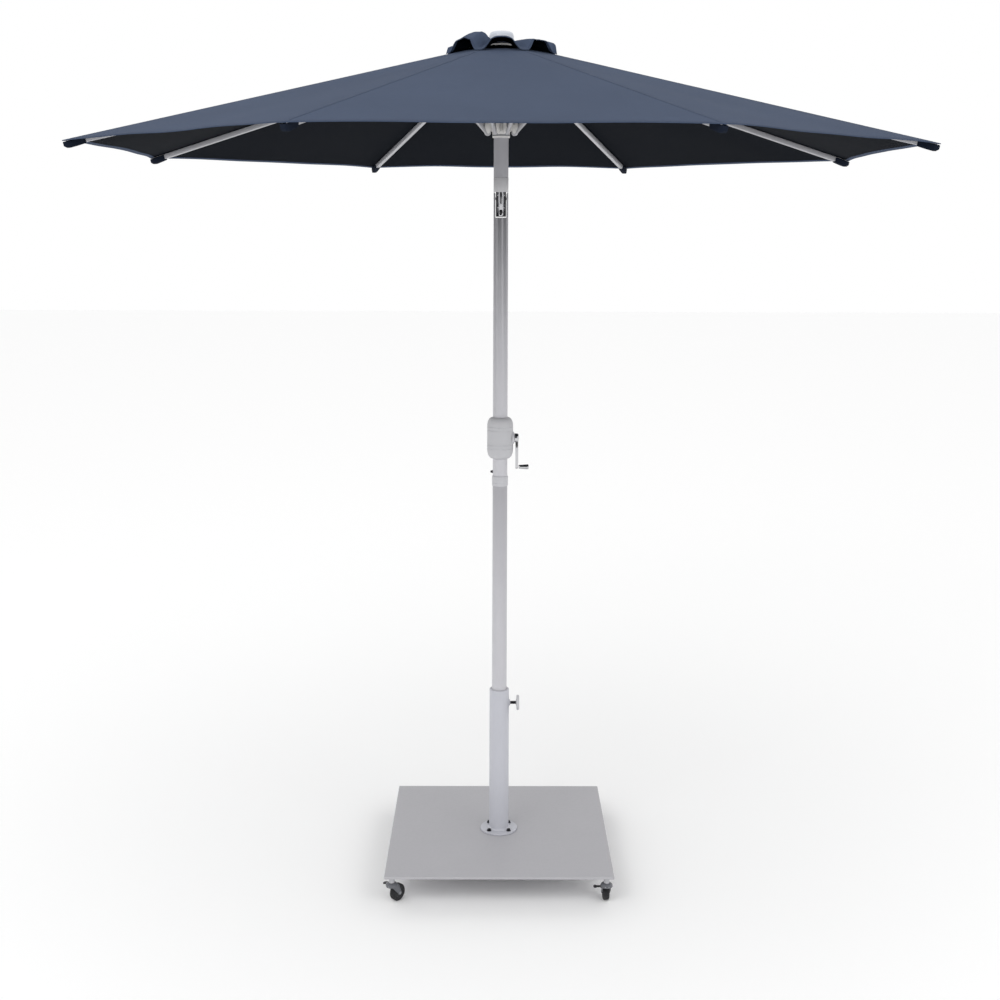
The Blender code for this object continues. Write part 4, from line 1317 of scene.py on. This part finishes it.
    def sheet(
        self,
        rib: int,
        span: tuple[float, float],
        rows: tuple[float, float],
        cells: tuple[int, int],
        lift: float = 0.0,
    ) -> Shape:
        """A patch of the cloth in a rib's frame.

        Args:
            rib: the rib's number.
            span: the patch's two sides, as t when below the strip's edge in size, or as a
                share from the strip's edge to mid-gore, plus one, beyond it.
            rows: its ends, as shares from the inner hem to the outer one, or as metres
                from the outer hem when negative.
            cells: its columns and rows.
            lift: a height above the cloth's top.

        Returns:
            The patch, before it is turned to its rib.
        """
        half, _ = self.held()

        def line(share: float) -> Callable[[float], float]:
            """The t of a line along the cloth, for an x."""
            if abs(share) <= 1:
                return lambda x: share * min(half, self.half_gore(x))
            sign = 1 if share > 0 else -1
            part = abs(share) - 1
            return lambda x: sign * (
                min(half, self.half_gore(x)) + part * max(0.0, x * tan(SECTOR) - half)
            )

        def point(u: float, v: float) -> Vector:
            """A point of the patch."""
            share = span[0] + (span[1] - span[0]) * u
            t_at = line(share)
            inner = self.edge_x(t_at, self.hole, 0.0)
            outer = self.edge_x(t_at, self.radius, self.dip)
            ends = [outer + end if end < 0 else inner + (outer - inner) * end for end in rows]
            x = ends[0] + (ends[1] - ends[0]) * v
            t = t_at(x)
            return Vector((x, t, self.height(x, t, self.phase(rib, t)) + lift))

        return Shape.surface(point, *cells)

    def build_strip(self, rib: int) -> None:
        """The cloth over one rib."""
        half, _ = self.held()
        strip = self.sheet(rib, (-1, 1), (0, 1), (12, 48))
        area = strip.area()
        strip.placed(about_z(azimuth(rib)))
        item = strip.piece(
            f"{self.name}_strip_{rib}", self.cloth, f"rib_{rib}",
            [f"canopy_section_{rib}"] if self.name == "canopy" else (), "canopy", wall=self.wall,
            inner_finish=self.inner_finish,
        )
        self.declare((2 * half, (self.radius - self.hole) * 1.04), area)

    def build_seam(self, rib: int) -> None:
        """The felled seam and the hem over one rib."""
        half, _ = self.held()
        share = self.seam / half
        seam = self.sheet(rib, (-share, share), (0.002, 0.997), (6, 48), lift=0.0007)
        seam.placed(about_z(azimuth(rib)))
        item = seam.piece(
            f"canopy_seam_{rib}", CANOPY_CLOTH, f"rib_{rib}", wall=0.0009, slot="canopy"
        )
        self.declare((2 * self.seam, self.radius), 2 * self.seam * 1.25)
        self.build_hem(rib, (-1, 1), f"canopy_hem_{rib}")

    def build_hem(self, rib: int, span: tuple[float, float], name: str) -> bpy.types.Object:
        """The folded hem along the outer edge of a patch, doubled in thickness."""
        columns = 24 if abs(span[0] - span[1]) > 1.5 or max(map(abs, span)) > 1 else 12
        band = self.sheet(rib, span, (-self.hem, -0.0001), (columns, 3), lift=0.0008)
        area = band.area()
        band.placed(about_z(azimuth(rib)))
        item = band.piece(name, BINDING_CLOTH, f"rib_{rib}", wall=0.0028, slot="canopy")
        self.declare((area / self.hem * 1.02, self.hem * 1.05), area)
        return item

    def build_wing(self, rib: int, side: Side) -> None:
        """The cloth from a strip to the middle of the gore beside it."""
        half, keep = self.held()
        span = (1.0 * side.value, 2.0 * side.value)
        turn = about_z(azimuth(rib))
        wing = self.sheet(rib, span, (0, 1), (18, 48))
        area = wing.area()
        letter = side.name.lower()
        item = wing.placed(turn).piece(
            f"{self.name}_wing_{letter}_{rib}", self.cloth, f"rib_{rib}", slot="canopy",
            wall=self.wall, inner_finish=self.inner_finish,
        )
        width = (self.radius * sin(SECTOR) - half) * 1.02
        self.declare((width, (self.radius - self.hole) * 1.05), area)
        pieces = [item]
        if self.name == "canopy":
            pieces.append(self.build_hem(rib, span, f"canopy_hem_{letter}_{rib}"))
        across = turn @ Vector((0, 1, 0))
        for piece in pieces:
            across * half * side.value
            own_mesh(piece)

    def build_pocket(self, rib: int) -> None:
        """The sewn pocket that the rib's tip sits in."""
        long, deep = 0.050, 0.0203
        pocket = Shape.box((-long, -0.0102, -deep), (0.0125, 0.0102, 0.0008), 0.0, 1)
        bmesh.ops.subdivide_edges(pocket.bm, edges=pocket.bm.edges, cuts=7, use_grid_fill=True)
        for vert in pocket.bm.verts:
            along = (vert.co.x + long) / (long + 0.0125)
            sink = min(1.0, max(0.0, -vert.co.z / deep))
            tip = max(0.0, along - 0.86) / 0.14
            vert.co.y *= (1 - 0.16 * sink) * (1 - 0.30 * tip)
            vert.co.z += 0.0085 * tip * sink + 0.0035 * sink * (1 - along) ** 2
        pocket.rounded(0.0016, 2, angle=60)
        bmesh.ops.smooth_vert(
            pocket.bm, verts=pocket.bm.verts, factor=0.5, use_axis_x=True, use_axis_y=True,
            use_axis_z=True,
        )
        pocket.mapped(depth=1.0)
        turn = Vector((1, 0, 0)).rotation_difference(self.rib_direction()).to_matrix().to_4x4()
        at = self.rib_point(self.radius - 0.0148, -0.0062)
        pocket.placed(about_z(azimuth(rib)) @ Matrix.Translation(at) @ turn)
        # The pocket's finish is painted shade, far darker than the canopy's cloth.
        pocket.piece(f"tip_pocket_{rib}", SHADED_POCKET_CLOTH, f"rib_{rib}", slot="canopy", smooth=60)

    def build_stitching(self, rib: int) -> None:
        """Two rows of thread along the seam."""
        pitch, length = 0.0042, 0.0026
        stitch = Shape.box(
            (-length / 2, -0.00022, -0.0001), (length / 2, 0.00022, 0.00035), 0.00012, 1
        )
        places = []
        count = int((self.radius - self.hole - 0.03) / pitch)
        for i in range(count):
            x = self.hole + 0.014 + i * pitch
            for t in (-self.seam + 0.0013, self.seam - 0.0013):
                height = self.height(x, t, self.phase(rib, t))
                places.append(
                    Matrix.Translation((x, t, height + 0.0008))
                    @ Matrix.Rotation(atan2(self.slope, 1), 4, "Y")
                )
        stitch.repeated(places).placed(about_z(azimuth(rib)))
        stitch.piece(f"seam_stitches_{rib}", STITCHES, f"rib_{rib}", smooth=80)


@dataclass(frozen=True)
class Arch:
    """How the cap rises in the middle of one gore: at its mouth, and in a puff further in."""

    mouth: float
    crest: float
    where: float


@dataclass
class VentCap(Canopy):
    """The small cap over the canopy's open middle, arched up between the ribs.

    It is flat from its eye to its shoulder and falls from there to its tip. Its arches go round
    by gore, from the one at +X.
    """

    tip: float = 0.192
    eye: float = 0.046
    shoulder: float = 0.040
    crown: float = 2.6650
    fall: float = 0.305
    drawn_in: float = 0.97
    hem_from: float = 0.92
    arches: tuple[Arch, ...] = (
        Arch(0.026, 0.014, 0.70), Arch(0.026, 0.012, 0.60), Arch(0.024, 0.010, 0.60),
        Arch(0.026, 0.014, 0.55), Arch(0.016, 0.016, 0.40), Arch(0.031, 0.030, 0.42),
        Arch(0.036, 0.010, 0.50), Arch(0.030, 0.006, 0.72),
    )

    def cap_height(self, x: float, t: float, gore: int) -> float:
        """The cap's height over a point of a rib's frame."""
        arch = self.arches[gore % RIBS]
        across = min(1.0, abs(t) / max(0.001, x * tan(SECTOR)))
        share = min(1.0, max(0.0, (x - self.eye) / (self.tip - self.eye)))
        line = self.crown - self.fall * max(0.0, x - self.shoulder)
        rise = smooth((across - 0.14) / 0.42)
        crease = 0.0022 * share * sin(pi * across) ** 2 * sin(9 * across + 2.1 * gore)
        puff = arch.crest * sin(pi * min(1.0, share / (2 * arch.where))) ** 1.5
        if share > arch.where:
            puff = arch.crest * smooth((1 - share) / (1 - arch.where))
        return line + rise * (arch.mouth * share + puff) + crease

    def build(self) -> None:
        """Builds the middle disc, and each rib's strip and wings."""
        disc = Shape.turned(
            [
                (0.0048, self.crown), (self.shoulder, self.crown),
                (self.eye + 0.003, self.crown - 0.0016),
            ],
            64,
        )
        disc.mapped().facing_up()
        area = disc.area()
        item = disc.piece("vent_disc", CANOPY_CLOTH, "upper", ["vent_cap"], "canopy", wall=0.0010)
        for rib in range(1, RIBS + 1):
            for side_of in Side:
                self.build_lobe(rib, side_of)

    def lobe_edge(self, x: float, gore: int) -> Vector:
        """A point of the cap's line midway between two ribs."""
        t = x * tan(SECTOR)
        return Vector((x, t, self.cap_height(x, t, gore)))

    def build_lobe(self, rib: int, side: Side) -> None:
        """Half of the cap's cloth beside one rib: the part that stays flat and the wing."""
        gore = rib if side is Side.LEFT else rib - 1
        far = self.tip * cos(SECTOR) ** 2 * self.drawn_in
        half, keep = self.gather(self.lobe_edge(self.eye, gore), self.lobe_edge(far, gore))
        turn = about_z(azimuth(rib))
        sign = side.value

        def reach(share: float) -> float:
            """The x of the cap's outer edge, for a share towards mid-gore."""
            return self.tip - (self.tip - far) * sin(pi / 2 * min(1.0, share)) ** 1.5

        def patch(u: float, v: float, first: float, last: float, lift: float = 0.0) -> Vector:
            """A point of the strip or the wing."""
            share = first + (last - first) * u
            x = self.eye + (reach(share) - self.eye) * v
            edge = x * tan(SECTOR)
            if edge <= half:
                t = edge * share
            else:
                split = half / (self.tip * tan(SECTOR))
                t = half * share / split if share <= split else half + (edge - half) * (
                    share - split
                ) / (1 - split)
            return Vector((x, sign * t, self.cap_height(x, t, gore) + lift))

        split = half / (self.tip * tan(SECTOR))
        letter = side.name.lower()
        for name, first, last, columns in (("strip", 0.0, split, 6), ("wing", split, 1.0, 14)):
            for part, start, thick in (("cloth", 0.0, 0.0010), ("hem", self.hem_from, 0.0024)):
                lift = 0.0008 if part == "hem" else 0.0
                shape = Shape.surface(
                    lambda u, v: patch(u, start + (1 - start) * v, first, last, lift), columns,
                    16 if part == "cloth" else 2,
                )
                area = shape.area()
                # The cap's cloth gets the near-black painted shade on its underside.
                item = shape.placed(turn).piece(
                    f"vent_{name}_{part}_{letter}_{rib}",
                    CANOPY_CLOTH if part == "cloth" else BINDING_CLOTH, f"rib_{rib}", slot="canopy",
                    wall=thick, inner_finish=UNDERSIDE_SHADE_CLOTH if part == "cloth" else BINDING_CLOTH,
                )
                if name == "wing":
                    across = turn @ Vector((0, 1, 0))
                    across * half * sign
                    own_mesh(item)


# ---------------------------------------------------------------- studio
@dataclass
class Studio:
    """The pale floor, the soft light and the camera."""

    eye: tuple[float, float, float] = (-0.0264, -4.6001, 2.0602)
    down: float = 0.805
    right: float = 0.296
    lens: float = 50.704
    shift: float = -0.2525
    roll: float = 0.2

    def build(self) -> None:
        """Sets the studio up."""
        self.build_floor()
        self.build_light()
        self.build_camera()

    def build_floor(self) -> None:
        """A wide pale floor."""
        floor = Shape.box((-30, -30, -0.02), (30, 30, -0.0002))
        mesh = bpy.data.meshes.new("studio_floor")
        floor.bm.to_mesh(mesh)
        floor.bm.free()
        item = bpy.data.objects.new("studio_floor", mesh)
        mesh.materials.append(Finish("studio_paper", (0.985, 0.985, 0.985), 0.95).material())
        bpy.context.scene.collection.objects.link(item)

    def build_light(self) -> None:
        """A bright room, whose front half is darker in reflections, and two large soft lamps."""
        world = bpy.data.worlds.new("studio_room")
        bpy.context.scene.world = world
        world.use_nodes = True
        tree = world.node_tree
        room, glow = tree.nodes["Background"], tree.nodes["World Output"]
        room.inputs["Color"].default_value = (1.0, 1.0, 1.0, 1.0)
        room.inputs["Strength"].default_value = 1.0
        reflected, rays = (tree.nodes.new(f"ShaderNode{kind}") for kind in ("Background", "LightPath"))
        place, split, ramp, mix = (
            tree.nodes.new(f"ShaderNode{kind}")
            for kind in ("TexCoord", "SeparateXYZ", "ValToRGB", "MixShader")
        )
        for element, (at, grey) in zip(ramp.color_ramp.elements, ((0.28, 0.10), (0.62, 1.0))):
            element.position, element.color = at, (grey, grey, grey, 1.0)
        half = tree.nodes.new("ShaderNodeMapRange")
        half.inputs["From Min"].default_value = -1.0
        tree.links.new(place.outputs["Generated"], split.inputs[0])
        tree.links.new(split.outputs["Y"], half.inputs["Value"])
        tree.links.new(half.outputs["Result"], ramp.inputs["Fac"])
        tree.links.new(ramp.outputs["Color"], reflected.inputs["Color"])
        tree.links.new(rays.outputs["Is Glossy Ray"], mix.inputs["Fac"])
        tree.links.new(room.outputs["Background"], mix.inputs[1])
        tree.links.new(reflected.outputs["Background"], mix.inputs[2])
        tree.links.new(mix.outputs["Shader"], glow.inputs["Surface"])
        self.lamp("key", (-2.6, -4.2, 4.6), (0, 0, 1.6), 3.2, 70)
        self.lamp("fill", (3.4, -3.6, 3.2), (0, 0, 1.2), 2.6, 30)

    def lamp(self, name: str, at: Point, to: Point, size: float, power: float) -> None:
        """A square soft lamp that faces a point."""
        light = bpy.data.lights.new(name, "AREA")
        light.size, light.energy = size, power
        item = bpy.data.objects.new(name, light)
        item.location = at
        item.rotation_euler = (Vector(to) - Vector(at)).to_track_quat("-Z", "Y").to_euler()
        bpy.context.scene.collection.objects.link(item)

    def build_camera(self) -> None:
        """The camera, which looks a little down with a lowered frame."""
        camera = bpy.data.cameras.new("camera")
        camera.lens, camera.sensor_width = self.lens, 36.0
        camera.shift_y = self.shift
        item = bpy.data.objects.new("camera", camera)
        turn = (
            Matrix.Rotation(-radians(self.right), 4, "Z")
            @ Matrix.Rotation(pi / 2 - radians(self.down), 4, "X")
            @ Matrix.Rotation(radians(self.roll), 4, "Z")
        )
        item.matrix_world = Matrix.Translation(self.eye) @ turn
        bpy.context.scene.collection.objects.link(item)
        bpy.context.scene.camera = item
        bpy.context.scene.view_settings.view_transform = "Standard"


def main() -> None:
    """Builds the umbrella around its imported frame."""
    logging.basicConfig(level=logging.INFO, format="%(message)s")
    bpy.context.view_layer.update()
    Base().build()
    for number in range(1, 5):
        Caster(number).build()
    Pole().build()
    Crank().build()
    Head().build()
    Arms().build()
    SEWN.build()
    # A near-black sheet over the canopy's middle hole, as painted shade inside the vent.
    vent_sheet_size = {"radius": 0.148, "hole": 0.050, "peak": 2.6628, "dip": 0.0, "sag": 0.0}
    Canopy("vent_mesh", VENT_SHADE_CLOTH, VENT_SHADE_CLOTH, **vent_sheet_size).build()
    VentCap().build()
    Studio().build()


for started in list(bpy.data.objects):
    bpy.data.objects.remove(started)
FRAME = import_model()
JOINTS: dict[str, Any] = {joint["name"]: joint for joint in FRAME["joints"]}
COUPLINGS: list[dict[str, Any]] = FRAME["record"]["behaviour"]["couplings"]
SEWN = Canopy()

if __name__ == "__main__":
    main()
